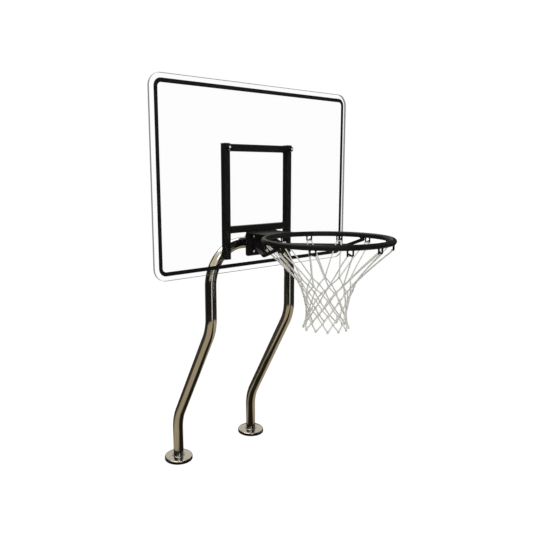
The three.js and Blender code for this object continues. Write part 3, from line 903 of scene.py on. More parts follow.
FINISHES: dict[Slot, tuple[Finish, ...]] = {
    Slot.TUBE: (PolishedStainless("polished_tube"),),
    Slot.DECK_PLATE: (PolishedStainless("polished_plate", roughness=0.1, grain=60.0, relief=0.12),),
    Slot.BRACKET: (PowderCoat("bracket_powder_coat"),),
    Slot.RIM: (PowderCoat("rim_powder_coat", roughness=0.28),),
    Slot.CAP: (MouldedPlastic("cap_plastic_black"),),
    Slot.FASTENER: (FastenerSteel("dark_fastener"),),
    Slot.INK: (PrintInk("border_print_ink"),),
    Slot.BOARD: (ClearSheet("clear_sheet"), ClearEdge("clear_sheet_edge")),
    Slot.CORD: (BraidedCord("braided_white_cord"),),
}
# Dome bolts with a painted highlight on their crowns.
DOME_FINISH = FastenerSteel("rubbed_dome_bolt", crown=0.0042)


# Pieces


def mesh_from(name: str, patches: Sequence[Patch]) -> bpy.types.Mesh:
    """One mesh of several patches whose borders lie on each other, with maps and edge attributes."""
    counts = np.cumsum([0] + [len(patch.points) for patch in patches])
    points = np.concatenate([patch.points for patch in patches])
    keys = np.round(points / SAME_POINT).astype(np.int64)
    _, first, shared = np.unique(keys, axis=0, return_index=True, return_inverse=True)
    shared = shared.ravel()
    edge = np.concatenate([
        np.zeros(len(patch.points)) if patch.edge is None else patch.edge for patch in patches
    ])
    faces, uvs, numbers = [], [], []
    for start, patch in zip(counts, patches):
        corners = shared[patch.faces + start]
        uv = np.zeros((*corners.shape, 2)) if patch.uv is None else patch.uv
        faces += corners.tolist()
        uvs.append(uv.reshape(-1, 2))
        numbers.append(np.full(len(corners), patch.finish))
    mesh = bpy.data.meshes.new(name)
    mesh.from_pydata(points[first].tolist(), [], faces)
    mesh.uv_layers.new(name="surface").uv.foreach_set("vector", np.concatenate(uvs).ravel())
    wear = np.zeros(len(first))
    np.maximum.at(wear, shared, edge)
    mesh.attributes.new("edge", "FLOAT", "POINT").data.foreach_set("value", wear)
    mesh.polygons.foreach_set("material_index", np.concatenate(numbers).astype(np.int32))
    mesh.shade_smooth()
    mesh.set_sharp_from_angle(angle=SHARP_ANGLE)
    mesh.update()
    return mesh


def placed(name: str, data: bpy.types.ID) -> bpy.types.Object:
    """A new object in the scene."""
    thing = bpy.data.objects.new(name, data)
    bpy.context.scene.collection.objects.link(thing)
    return thing


@dataclass
class Maker:
    """Turns patches into finished pieces that ride on the frame."""

    made: int = 0

    def piece(self, name: str, patches: Sequence[Patch], slot: Slot, replaces: str = "",
              body: Body = Body.STAND, flat: bool = False,
              finishes: Sequence[Finish] = ()) -> None:
        """Adds one piece.

        Args:
            name: a maker's word for it.
            patches: its surfaces.
            slot: the record's finish.
            replaces: the frame's node that it stands for.
            body: what it moves with.
            flat: whether flat faces stay flat beside their arrises.
            finishes: its materials where they aren't the slot's own.
        """
        mesh = mesh_from(name, patches)
        for finish in finishes or FINISHES[slot]:
            mesh.materials.append(finish.material())
        thing = placed(name, mesh)
        if flat:
            weighted = thing.modifiers.new("flat_faces", "WEIGHTED_NORMAL")
            weighted.keep_sharp = True
            weighted.weight = 100
        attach(thing, body.value)
        if replaces:
            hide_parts(replaces)
        self.made += 1
        log.info("%s: %d faces", name, len(mesh.polygons))


@dataclass(frozen=True)
class Extent:
    """The room that a node of the frame takes up."""

    low: Array
    high: Array

    @classmethod
    def of(cls, node: str) -> "Extent":
        """The node's corners."""
        low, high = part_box(node)
        return cls(np.array(low), np.array(high))

    @property
    def middle(self) -> Array:
        """The point halfway between the corners."""
        return (self.low + self.high) / 2

    @property
    def size(self) -> Array:
        """The distance between the corners along each axis."""
        return self.high - self.low

    def bench(self, axis: int) -> Bench:
        """A bench in the middle of the low end of one axis, its depth along that axis."""
        origin = self.middle
        origin[axis] = self.low[axis]
        return Bench(origin, AXES[(axis + 1) % 3], AXES[(axis + 2) % 3])

    def back_bench(self) -> Bench:
        """A bench in the middle of the back, its depth towards the front."""
        origin = self.middle
        origin[1] = self.high[1]
        return Bench(origin, X_AXIS, Z_AXIS)


def bolt_holes(bench: Bench, bolts: Sequence[str], width: float) -> list[Array]:
    """A round hole for each bolt through a piece that is drawn on a back bench."""
    places = [Extent.of(bolt).middle - bench.origin for bolt in bolts]
    return [circle((place[0], place[2]), width / 2, steps=24) for place in places]


RIM_BOLTS = [f"rim_bolt_{number}" for number in range(1, 5)]


@dataclass(frozen=True)
class HoopSizes:
    """The driving sizes that several sub-assemblies share."""

    tube_radius: float = 0.0483 / 2
    tube_wall: float = 0.002
    leg_spacing: float = 0.457
    leg_reach: float = 0.2838
    tube_top: float = 1.06
    board_corner: float = 0.0508
    rim_hole: float = 0.0105
    ring_rod: float = 0.0206
    opening: float = 0.4572
    hook_count: int = 12
    hook_spread: float = 0.02
    seat: float = 0.0003

    @property
    def ring_radius(self) -> float:
        """Radius of the ring's centre line."""
        return (self.opening + self.ring_rod) / 2

    @property
    def board_front(self) -> float:
        """Y of the board's front face."""
        return float(Extent.of("backboard").low[1])

    @property
    def ring_centre(self) -> Array:
        """Middle of the ring."""
        return Extent.of("rim_ring").middle


SIZES = HoopSizes()


@dataclass
class Stand:
    """The bent stainless tube and the loose plates that cover its sockets."""

    ankle: float = 0.206
    knee: float = 0.703
    leg_bend: float = 0.2
    top_bend: float = 0.17
    tube_sides: int = 72
    plate_skirt: float = 0.012
    plate_shoulder: float = 0.005
    plate_collar: float = 0.0045
    plate_bore: float = 0.0006
    plate_sheet: float = 0.002
    plate_sides: int = 128
    neck_radius: float = 0.0022
    neck_lift: float = 0.0016
    slope_end: tuple[float, float] = (0.0035, 0.0006)
    slope_crown: float = 0.0007
    slope_points: int = 14
    lip: float = 0.0012
    bore_lip: float = 0.0006
    shoulder_turn: float = math.radians(78)
    neck_start: float = math.radians(-95)
    inner_drop: float = 0.0002
    inner_lift: float = 0.0006
    hem: float = 0.003

    def build(self, maker: Maker) -> None:
        """The tube and both plates."""
        self.build_tube(maker)
        for side, body in ((Side.LEFT, Body.PLATE_LEFT), (Side.RIGHT, Body.PLATE_RIGHT)):
            name = f"escutcheon_{side.word}"
            node = Extent.of(name)
            patches = turned(*self.plate_profile(node), node.bench(2), self.plate_sides, closed=True)
            maker.piece(f"deck_plate_{side.word}", patches, Slot.DECK_PLATE, name, body)

    def tube_route(self) -> Route:
        """The tube's centre line: up one S-bent leg, across behind the board and down the other."""
        half = SIZES.leg_spacing / 2
        stations = ((0.0, 0.0), (0.0, self.ankle), (-SIZES.leg_reach, self.knee),
                    (-SIZES.leg_reach, SIZES.tube_top))
        leg = [np.array([-half, y, z]) for y, z in stations]
        other = [corner * np.array([-1.0, 1.0, 1.0]) for corner in leg[::-1]]
        radii = [self.leg_bend, self.leg_bend, self.top_bend]
        return bent_route(leg + other, radii + radii[::-1], X_AXIS, step=math.radians(2))

    def build_tube(self, maker: Maker) -> None:
        """The tube's wall: rings outside from foot to foot, then rings inside back again."""
        route = self.tube_route()
        ring = spokes(route.side, route.up, self.tube_sides)
        centre = route.points[:, None, :]
        outside = centre + SIZES.tube_radius * ring
        inside = centre + (SIZES.tube_radius - SIZES.tube_wall) * ring
        distance = distances(route.points)
        wall = grid_patch(
            np.concatenate([outside, inside[::-1]]),
            around=TURN * SIZES.tube_radius,
            along=np.concatenate([distance, 2 * distance[-1] - distance[::-1] + SIZES.tube_wall]),
            wrap_rows=True,
        )
        maker.piece("bent_tube", [wall], Slot.TUBE, "support_tube")

    def plate_profile(self, node: Extent) -> tuple[Array, Array]:
        """Radii and heights round the plate's section, foot to collar outside and back inside."""
        outer, top, sheet = node.size[0] / 2, node.size[2], self.plate_sheet
        bore = SIZES.tube_radius + self.plate_bore
        collar = bore + self.plate_collar
        out, down = self.slope_end
        shoulder = arc(
            (outer - self.plate_shoulder, self.plate_skirt - self.plate_shoulder / 3),
            self.plate_shoulder, 0, self.shoulder_turn, steps=10,
        )
        neck = arc(
            (collar + self.neck_radius, top - sheet + self.neck_lift),
            self.neck_radius, self.neck_start, -math.pi, steps=6,
        )
        lip = arc((collar - self.lip, top - self.lip), self.lip, 0, QUARTER, steps=5)
        bore_lip = arc(
            (bore + self.bore_lip, top - self.bore_lip), self.bore_lip, QUARTER, math.pi, steps=4,
        )
        start, end = shoulder[-1], np.array([collar + out, top - sheet - down])
        share = np.linspace(0, 1, self.slope_points)[1:-1, None]
        slope = start + share * (end - start)
        slope[:, 1] += self.slope_crown * np.sin(math.pi * share[:, 0])
        inner = np.array([
            [bore, top - 2 * sheet],
            [collar, top - 2 * sheet - self.inner_drop],
            [outer - sheet - self.plate_shoulder, self.plate_skirt + self.inner_lift],
            [outer - sheet, self.plate_skirt - self.hem],
            [outer - sheet, 0.0],
        ])
        return tuple(np.concatenate([[[outer, 0.0]], shoulder, slope, neck, lip, bore_lip, inner]).T)


@dataclass
class Board:
    """The clear board and the border printed on its front."""

    arris: float = 0.0007
    border_inset: float = 0.019
    border_width: float = 0.0159
    border_arris: float = 0.0001
    board_hole: float = 0.009
    corner_steps: int = 24

    def build(self, maker: Maker) -> None:
        """The sheet with its holes, and the printed frame: a band of even width inside its outline."""
        board, border = Extent.of("backboard"), Extent.of("printed_border")
        bench = board.back_bench()
        outline, outer, inner = (
            round_rectangle(board.size[0] - 2 * inset, board.size[2] - 2 * inset,
                            SIZES.board_corner - inset, self.corner_steps)
            for inset in (0.0, self.border_inset, self.border_inset + self.border_width)
        )
        holes = bolt_holes(bench, RIM_BOLTS, SIZES.rim_hole)
        holes += bolt_holes(bench, [f"board_bolt_{side.word}" for side in Side], self.board_hole)
        sheet = plate([outline, *holes], board.size[1], bench, self.arris, edge_finish=1)
        maker.piece("clear_board", sheet, Slot.BOARD, "backboard", flat=True)
        band = plate([outer, inner], border.size[1], border.back_bench(), self.border_arris, rounds=2)
        maker.piece("border_print", band, Slot.INK, "printed_border", flat=True)


@dataclass
class Bracket:
    """The welded frame of square tube behind the board, with caps in its open ends."""

    wall: float = 0.002
    corner: float = 0.0034
    arris: float = 0.0004
    cap_corner: float = 0.002
    cap_arris: float = 0.0009
    cap_flange: float = 0.0025
    weld_bend_share: float = 0.8
    bead: float = 0.0019

    def build(self, maker: Maker) -> None:
        """The two uprights, the two bars between them, the caps and the welds."""
        for node, axis in (("upright_left", 2), ("upright_right", 2), ("top_bar", 0), ("lower_bar", 0)):
            patches = self.square_tube(Extent.of(node), axis)
            maker.piece(f"bracket_{node}", patches, Slot.BRACKET, node, flat=True)
        for side in Side:
            for end, up in (("bottom", 1), ("top", -1)):
                place = f"{side.word}_{end}"
                patches = self.cap(Extent.of(f"end_cap_{place}"), up)
                maker.piece(f"upright_cap_{place}", patches, Slot.CAP, f"end_cap_{place}", flat=True)
        self.build_welds(maker)

    def square_tube(self, node: Extent, axis: int) -> list[Patch]:
        """A square tube that fills a node's box, open at both ends."""
        size = float(np.delete(node.size, axis).mean())
        inside = size - 2 * self.wall
        loops = [
            round_rectangle(size, size, self.corner, 6),
            round_rectangle(inside, inside, self.corner - self.wall, 4),
        ]
        return plate(loops, float(node.size[axis]), node.bench(axis), self.arris, rounds=2)

    def cap(self, node: Extent, up: int) -> list[Patch]:
        """A cap: a crowned flange over a tube's end and a plug that points up or down inside it."""
        bench = node.bench(2)
        if up < 0:
            bench.origin[2] = node.high[2]
            bench = Bench(bench.origin, Y_AXIS, X_AXIS)
        inner = Bench(bench.origin + up * self.cap_flange * Z_AXIS, bench.across, bench.up)
        size = float(node.size[0])
        plug_size = size - 2 * self.wall - 4 * SIZES.seat
        flange = round_rectangle(size, size, self.cap_corner, 6)
        plug = round_rectangle(plug_size, plug_size, self.arris * 2, 3)
        return (plate([flange], self.cap_flange, bench, self.cap_arris, rounds=4)
                + plate([plug], float(node.size[2]) - self.cap_flange, inner, self.arris, rounds=1))

    def build_welds(self, maker: Maker) -> None:
        """A bead over the top, down the back and under each bar where it meets an upright."""
        patches = []
        bend = self.corner * self.weld_bend_share
        for bar in ("top_bar", "lower_bar"):
            node = Extent.of(bar)
            (left, front, bottom), (right, back, top) = node.low, node.high
            front += self.corner
            for x in (left, right):
                path = ((front, top), (back, top), (back, bottom), (front, bottom))
                corners = [np.array([x, y, z]) for y, z in path]
                route = bent_route(
                    corners, [bend, bend], X_AXIS, step=math.radians(12), run_step=self.bead / 2,
                )
                patches += weld_bead(route, self.bead)
        maker.piece("bracket_welds", patches, Slot.BRACKET)


@dataclass
class Rim:
    """The face plate, the gusset over it, the ring and its two braces."""

    plate_corner: float = 0.012
    notch_depth: float = 0.018
    notch_height: float = 0.011
    notch_flare: float = 0.0003
    arris: float = 0.0008
    brace_rod: float = 0.014
    brace_heel: tuple[float, float] = (0.045, 0.052)
    brace_knee: tuple[float, float, float] = (0.231, 0.274, 0.048)
    brace_bend: float = 0.03
    brace_toe_reach: float = 0.35
    brace_end_share: float = 0.55
    bead: float = 0.0024
    collar_back: float = 0.8
    collar_lift: float = 0.3
    seam_lift: float = 0.92
    seam_ends: tuple[float, float] = (-1.6, 0.6)
    seam_spread: float = 0.62

    def build(self, maker: Maker) -> None:
        """The face plate, the gusset, the ring, the braces and the welds."""
        face, gusset = Extent.of("rim_plate"), Extent.of("rim_top_plate")
        bench = face.back_bench()
        loops = [self.face_outline(float(face.size[0]), float(face.size[2]))]
        loops += bolt_holes(bench, RIM_BOLTS, SIZES.rim_hole)
        patches = plate(loops, float(face.size[1]), bench, self.arris)
        maker.piece("rim_face_plate", patches, Slot.RIM, "rim_plate", flat=True)
        bench = Bench(np.array([0.0, 0.0, gusset.low[2]]), X_AXIS, Y_AXIS)
        patches = plate([self.gusset_outline(gusset)], float(gusset.size[2]), bench, self.arris)
        maker.piece("rim_gusset", patches, Slot.RIM, "rim_top_plate", flat=True)
        route = ring_route(SIZES.ring_centre, SIZES.ring_radius, steps=240)
        patches = rod(route, SIZES.ring_rod / 2, sides=28, closed=True)
        maker.piece("hoop_ring", patches, Slot.RIM, "rim_ring")
        for side in Side:
            maker.piece(f"ring_brace_{side.word}", self.brace(side), Slot.RIM, f"rim_brace_{side.word}")
        maker.piece("rim_welds", self.gusset_welds(gusset) + self.brace_welds(), Slot.RIM)

    def face_outline(self, width: float, height: float) -> Array:
        """The face plate's outline, anticlockwise, with a round-ended slot open to each side.

        The slots are a little wider at their mouths.
        """
        x, z, corner = width / 2, height / 2, self.plate_corner
        nose = self.notch_height / 2
        mouth, slot_x = nose + self.notch_flare, x - self.notch_depth + nose
        return np.concatenate([
            [[x, -mouth]], arc((slot_x, 0), nose, 3 * QUARTER, QUARTER, steps=12), [[x, mouth]],
            arc((x - corner, z - corner), corner, 0, QUARTER, steps=10),
            arc((-x + corner, z - corner), corner, QUARTER, 2 * QUARTER, steps=10),
            [[-x, mouth]], arc((-slot_x, 0), nose, QUARTER, -QUARTER, steps=12), [[-x, -mouth]],
            arc((-x + corner, -z + corner), corner, 2 * QUARTER, 3 * QUARTER, steps=10),
            arc((x - corner, -z + corner), corner, 3 * QUARTER, 4 * QUARTER, steps=10),
        ])

    def gusset_outline(self, node: Extent) -> Array:
        """The gusset's outline: two corners at the face plate, then the ring's outside as a hollow."""
        half = float(node.size[0]) / 2
        hug = SIZES.ring_radius + SIZES.ring_rod / 2 + SIZES.seat
        reach = math.asin(half / hug)
        hollow = arc(SIZES.ring_centre[:2], hug, QUARTER + reach, QUARTER - reach, steps=40)
        return np.concatenate([[[half, node.high[1]], [-half, node.high[1]]], hollow])

    def brace_corners(self, side: Side) -> list[Array]:
        """Toe under the ring, knee below it and heel on the face plate."""
        centre, front = SIZES.ring_centre, SIZES.board_front
        toe_y = front - self.brace_toe_reach
        toe_x = math.sqrt(SIZES.ring_radius ** 2 - (toe_y - centre[1]) ** 2)
        toe_z = centre[2] - SIZES.ring_rod / 2 - SIZES.seat - self.brace_rod / 2
        knee_x, knee_reach, knee_drop = self.brace_knee
        heel_x, heel_drop = self.brace_heel
        face = Extent.of("rim_plate").low[1] - SIZES.seat
        return [
            np.array([side.value * toe_x, toe_y, toe_z]),
            np.array([side.value * knee_x, front - knee_reach, centre[2] - knee_drop]),
            np.array([side.value * heel_x, face, centre[2] - heel_drop]),
        ]

    def brace(self, side: Side) -> list[Patch]:
        """A bent rod with ball ends."""
        corners = self.brace_corners(side)
        radius = self.brace_rod / 2
        corners[-1] = corners[-1] - radius * self.brace_end_share * unit(corners[-1] - corners[-2])
        return rod(bent_route(corners, [self.brace_bend], Z_AXIS), radius, sides=24, round_ends=True)

    def gusset_welds(self, node: Extent) -> list[Patch]:
        """Beads along the gusset's two long edges, above and below."""
        centre = SIZES.ring_centre
        half = float(node.size[0]) / 2 - self.bead
        hug = SIZES.ring_radius + SIZES.ring_rod / 2
        reach = math.asin(half / hug)
        patches = []
        for z in (node.low[2], node.high[2]):
            where = np.array([centre[0], centre[1], z])
            route = ring_route(where, hug, steps=160, start=QUARTER - reach, end=QUARTER + reach)
            patches += weld_bead(route, self.bead)
            ends = [np.array([x, node.high[1], z]) for x in (-half, half)]
            patches += straight_bead(*ends, self.bead)
        return patches

    def brace_welds(self) -> list[Patch]:
        """A collar round each brace's heel and two beads where its toe meets the ring."""
        radius = self.brace_rod / 2
        patches = []
        for side in Side:
            toe, knee, heel = self.brace_corners(side)
            slope, lean = unit(heel - knee), unit(toe - knee)
            middle = heel - slope * self.bead * self.collar_back
            collar = collar_route(middle, slope, radius + self.bead * self.collar_lift)
            patches += weld_bead(collar, self.bead, closed=True)
            seam = toe + np.array([0.0, 0.0, radius * self.seam_lift])
            ends = [seam + lean * radius * share for share in self.seam_ends]
            for shift in (-1, 1):
                offset = shift * self.seam_spread * radius * unit(np.cross(lean, Z_AXIS))
                level = [end * np.array([1, 1, 0]) + seam * Z_AXIS + offset for end in ends]
                patches += straight_bead(*level, self.bead)
        return patches


@dataclass
class Hooks:
    """The wire hooks under the ring that hold the net."""

    wire: float = 0.006
    drop: float = 0.0197
    cross_share: float = 0.45
    bend: float = 0.0036
    sink: float = 0.0012
    slant_gap: float = 0.001
    tip_share: float = 0.95
    seam_heights: tuple[float, ...] = (-0.0034, -0.0022, -0.0012, 0.0)
    seam_swell: tuple[float, ...] = (-0.00012, 0.00054, 0.00102, 0.00192)

    def legs(self) -> list[Patch]:
        """The bent leg with its slant, and the straight leg that the slant is welded to.

        x runs along the ring, and z is measured from the ring's centre line.
        """
        half, radius = SIZES.hook_spread / 2, self.wire / 2
        top = -SIZES.ring_rod / 2 - SIZES.seat
        start = top + self.sink
        bent = ((-half, start), (-half, top - self.drop),
                (half - self.slant_gap, top - self.cross_share * self.drop))
        straight = ((half, start), (half, top - self.drop + self.tip_share * radius))
        patches = []
        for line in (bent, straight):
            corners = [np.array([x, 0, z]) for x, z in line]
            bends = [self.bend] * (len(line) - 2)
            route = bent_route(corners, bends, X_AXIS, step=math.radians(10), run_step=0.004)
            patches += rod(route, radius, sides=14, round_ends=True)
            radii = radius + np.array(self.seam_swell)
            bench = Bench(corners[0], X_AXIS, Y_AXIS)
            patches += turned(radii, np.array(self.seam_heights), bench, sides=20)
        return patches

    def build(self, maker: Maker) -> None:
        """One hook for each node, drawn at the ring's angle, with welds where it meets the ring."""
        patches = self.legs()
        for number in range(SIZES.hook_count):
            angle = number / SIZES.hook_count * TURN
            outward = np.array([math.cos(angle), math.sin(angle), 0.0])
            tangent = np.array([math.sin(angle), -math.cos(angle), 0.0])
            axes = np.stack([tangent, outward, Z_AXIS])
            origin = SIZES.ring_centre + SIZES.ring_radius * outward
            hook = [Patch(patch.points @ axes + origin, patch.faces, patch.uv) for patch in patches]
            maker.piece(f"net_wire_hook_{number + 1:02d}", hook, Slot.RIM, f"net_hook_{number + 1:02d}")


@dataclass
class Net:
    """The knotted net: a loop of cord on each hook, then rows of diamonds to the tips."""

    cord: float = 0.0051
    top_drop: float = 0.0303
    top_radius: float = 0.2326
    length: float = 0.305
    row_shares: tuple[float, ...] = (0.423, 0.511, 0.608, 0.731, 0.813, 0.911, 1.0)
    radius_shares: tuple[float, ...] = (0.45, 0.405, 0.358, 0.325, 0.312, 0.33, 0.36)
    braid_length: float = 0.0075
    knot_size: float = 0.001224
    knot_stretch: tuple[float, float] = (1.15, 1.5)
    knot_cord_share: float = 0.46
    knot_tilt: float = 0.2
    knot_stations: int = 42
    twist_row: int = 7
    twist_column: int = 3
    twists: int = 5
    hang_shares: tuple[float, float] = (0.35, 0.7)
    slack: float = 0.004
    leg_drop: float = 0.003
    arch_lift: float = 0.0015
    arch_share: float = 0.62
    bow: float = 0.0012
    sag: float = 0.0008
    sway: float = 0.0022

    @property
    def top(self) -> float:
        """Height of the cord in the hooks."""
        return SIZES.ring_centre[2] - self.top_drop

    def around(self, angle: float, radius: float, z: float, aside: float = 0.0) -> Array:
        """A point at an angle and radius from the ring's axis, moved aside along the tangent."""
        centre = SIZES.ring_centre
        cos, sin = math.cos(angle), math.sin(angle)
        return np.array([
            centre[0] + radius * cos - aside * sin,
            centre[1] + radius * sin + aside * cos,
            z,
        ])

    def outward(self, point: Array) -> Array:
        """The level direction from the ring's axis to a point."""
        return unit((point - SIZES.ring_centre) * np.array([1.0, 1.0, 0.0]))

    def knot(self, row: int, column: float) -> Array:
        """Where a row's knot lies; every other row is shifted by half a loop."""
        return self.around(
            (column + (row + 1) % 2 / 2) * (TURN / SIZES.hook_count),
            self.radius_shares[row] * SIZES.ring_radius,
            self.top - self.row_shares[row] * self.length,
        )

    def loop_route(self, column: int) -> Route:
        """One hook's loop: up from one knot, over the hook's two legs and down to the next knot."""
        angle = column * (TURN / SIZES.hook_count)
        half = SIZES.hook_spread / 2
        start, end = self.knot(0, column - 1), self.knot(0, column)
        left, left_arch, right_arch, right = (
            self.around(angle, self.top_radius, self.top + lift, aside)
            for aside, lift in ((-half, -self.leg_drop), (-half * self.arch_share, self.arch_lift),
                                (half * self.arch_share, self.arch_lift), (half, -self.leg_drop))
        )
        outward = np.array([math.cos(angle), math.sin(angle), 0.0])

        def hung(knot: Array, hook: Array) -> list[Array]:
            """Points of a long run up from its knot, drawn in slightly where it hangs slack."""
            return [
                knot + share * (hook - knot) - self.slack * math.sin(math.pi * share) * outward
                for share in self.hang_shares
            ]

        rise, fall = hung(start, left), hung(end, right)[::-1]
        knots = [start, *rise, left, left_arch, right_arch, right, *fall, end]
        return smooth_route(np.array(knots), outward)

    def mesh_route(self, row: int, column: int, to: int) -> Route:
        """One side of a diamond, from a knot to a knot in the next row, bowed a little outwards."""
        start, end = self.knot(row, column), self.knot(row + 1, to)
        middle = (start + end) / 2
        outward = self.outward(middle)
        bowed = middle + self.bow * outward - self.sag * Z_AXIS
        return smooth_route(np.array([start, bowed, end]), outward)

    def knot_patches(self, row: int, column: int) -> list[Patch]:
        """A knot: the cord drawn tight in a three-lobed line round the crossing.

        The line is (sin t + 2 sin 2t, cos t - 2 cos 2t, -sin 3t) times the knot's size,
        laid with its flat side facing out of the net.
        """
        where = self.knot(row, column)
        outward = self.outward(where)
        sideways = np.cross(Z_AXIS, outward)
        t = np.arange(self.knot_stations)[:, None] / self.knot_stations * TURN
        (taller, deeper), size = self.knot_stretch, self.knot_size
        twist_number = (row * self.twist_row + column * self.twist_column) % self.twists
        twist = twist_number / self.twists * TURN
        wide = np.sin(t + twist) + 2 * np.sin(2 * t)
        tall = np.cos(t + twist) - 2 * np.cos(2 * t)
        points = (where + size * (wide * sideways + taller * tall * Z_AXIS)
                  - deeper * size * np.sin(3 * t) * outward)
        along = unit(np.roll(points, -1, axis=0) - np.roll(points, 1, axis=0))
        side = unit(np.cross(along, outward + self.knot_tilt * Z_AXIS))
        return rod(Route(points, along, side), self.cord * self.knot_cord_share, sides=8, closed=True,
                   map_length=self.braid_length)

    def swayed(self, points: Array) -> Array:
        """Points moved by a slow wave, so that no two diamonds hang alike.

        The wave is a sum of sines of the place, and grows from nothing at the hooks.
        """
        drop = np.clip((self.top - points[:, 2]) / self.length, 0, 1)[:, None]
        x, y, z = points.T
        wave = np.stack([
            np.sin(38 * y + 21 * z + 0.7) + 0.6 * np.sin(71 * x - 17 * y),
            np.sin(43 * x - 19 * z + 2.1) + 0.6 * np.sin(67 * y + 13 * x),
            0.8 * np.sin(31 * x + 37 * y + 1.3),
        ], axis=1)
        return points + self.sway * drop * wave

    def build(self, maker: Maker) -> None:
        """Joins the loops, the diamonds and the knots in one piece."""
        patches = []
        last = len(self.row_shares) - 1
        for column in range(SIZES.hook_count):
            routes = [self.loop_route(column)]
            for row in range(last):
                first = column if row % 2 == 0 else column - 1
                routes += [self.mesh_route(row, column, to) for to in (first, first + 1)]
            for route in routes:
                patches += rod(route, self.cord / 2, sides=10, map_length=self.braid_length)
            for row in range(last + 1):
                patches += self.knot_patches(row, column)
        for patch in patches:
            patch.points = self.swayed(patch.points)
        maker.piece("knotted_net", patches, Slot.CORD, "net")


@dataclass
class Clamp:
    """What holds the rim's nuts and the tube's middle, behind the board."""

    plate_corner: float = 0.005
    arris: float = 0.0007
    gap: float = 0.002
    flange: float = 0.008
    arch: float = 0.007
    screw_shank: float = 0.008
    screw_head: float = 0.013
    head_height: float = 0.008
    chamfer: float = 0.0006
    socket: float = 0.0062
    socket_depth: float = 0.0045
    screw_sides: int = 48
    socket_mouth_share: float = 1.06

    def build(self, maker: Maker) -> None:
        """The plate that the rim's nuts bear on, the clamp's two halves and its screws."""
        node = Extent.of("rim_backing_plate")
        bench = node.back_bench()
        loops = [round_rectangle(float(node.size[0]), float(node.size[2]), self.plate_corner)]
        loops += bolt_holes(bench, RIM_BOLTS, SIZES.rim_hole)
        patches = plate(loops, float(node.size[1]), bench, self.arris)
        maker.piece("back_plate", patches, Slot.BRACKET, "rim_backing_plate", flat=True)
        self.build_halves(maker)
        for number in range(1, 5):
            name = f"clamp_screw_{number}"
            maker.piece(f"strap_screw_{number}", self.screw(Extent.of(name)), Slot.FASTENER, name)

    def build_halves(self, maker: Maker) -> None:
        """The saddle before the tube and the strap behind it, hollowed to the tube."""
        saddle, cap = Extent.of("tube_saddle"), Extent.of("tube_clamp_cap")
        grip = SIZES.tube_radius + SIZES.seat
        half = float(saddle.size[2]) / 2
        parting = self.gap / 2
        lip_angle = math.acos(parting / grip)
        depth = -SIZES.leg_reach - saddle.low[1]
        flange_back, arch_radius = parting + self.flange, grip + self.arch
        arch_angle = math.acos(flange_back / arch_radius)
        outlines = {
            ("tube_saddle_block", "tube_saddle"): [
                [[-depth, -half], [-parting, -half]],
                arc((0, 0), grip, math.pi + lip_angle, math.pi - lip_angle, steps=36),
                [[-parting, half], [-depth, half]],
            ],
            ("tube_strap", "tube_clamp_cap"): [
                [[parting, -half], [flange_back, -half]],
                arc((0, 0), arch_radius, -arch_angle, arch_angle, steps=32),
                [[flange_back, half], [parting, half]],
                arc((0, 0), grip, lip_angle, -lip_angle, steps=36),
            ],
        }
        bench = Bench(np.array([saddle.low[0], -SIZES.leg_reach, SIZES.tube_top]), Y_AXIS, Z_AXIS)
        for (name, node), outline in outlines.items():
            patches = plate([np.concatenate(outline)], float(cap.size[0]), bench, self.arris, rounds=2)
            maker.piece(name, patches, Slot.BRACKET, node, flat=True)

    def screw(self, node: Extent) -> list[Patch]:
        """A socket screw: a round head with a hexagon sunk in it, and a plain shank."""
        head, shank, chamfer = self.screw_head / 2, self.screw_shank / 2, self.chamfer
        top = float(node.size[1])
        under = top - self.head_height
        hexagon = hexagon_radii(self.socket, self.screw_sides)[None]
        wall = np.ones_like(hexagon)
        radii = np.concatenate([
            wall * (shank - chamfer), wall * shank, wall * shank,
            wall * (head - chamfer / 2), wall * head, wall * head,
            wall * (head - chamfer), hexagon * self.socket_mouth_share, hexagon, hexagon,
        ])
        heights = np.array([
            0, chamfer, under, under, under + chamfer / 2, top - chamfer,
            top, top, top - chamfer / 2, top - self.socket_depth,
        ])
        return turned(radii, heights, node.bench(1))


@dataclass(frozen=True)
class BoltSize:
    """The sizes of one kind of bolt."""

    shank: float
    head: float
    head_height: float
    nut: float
    nut_height: float
    pitch: float


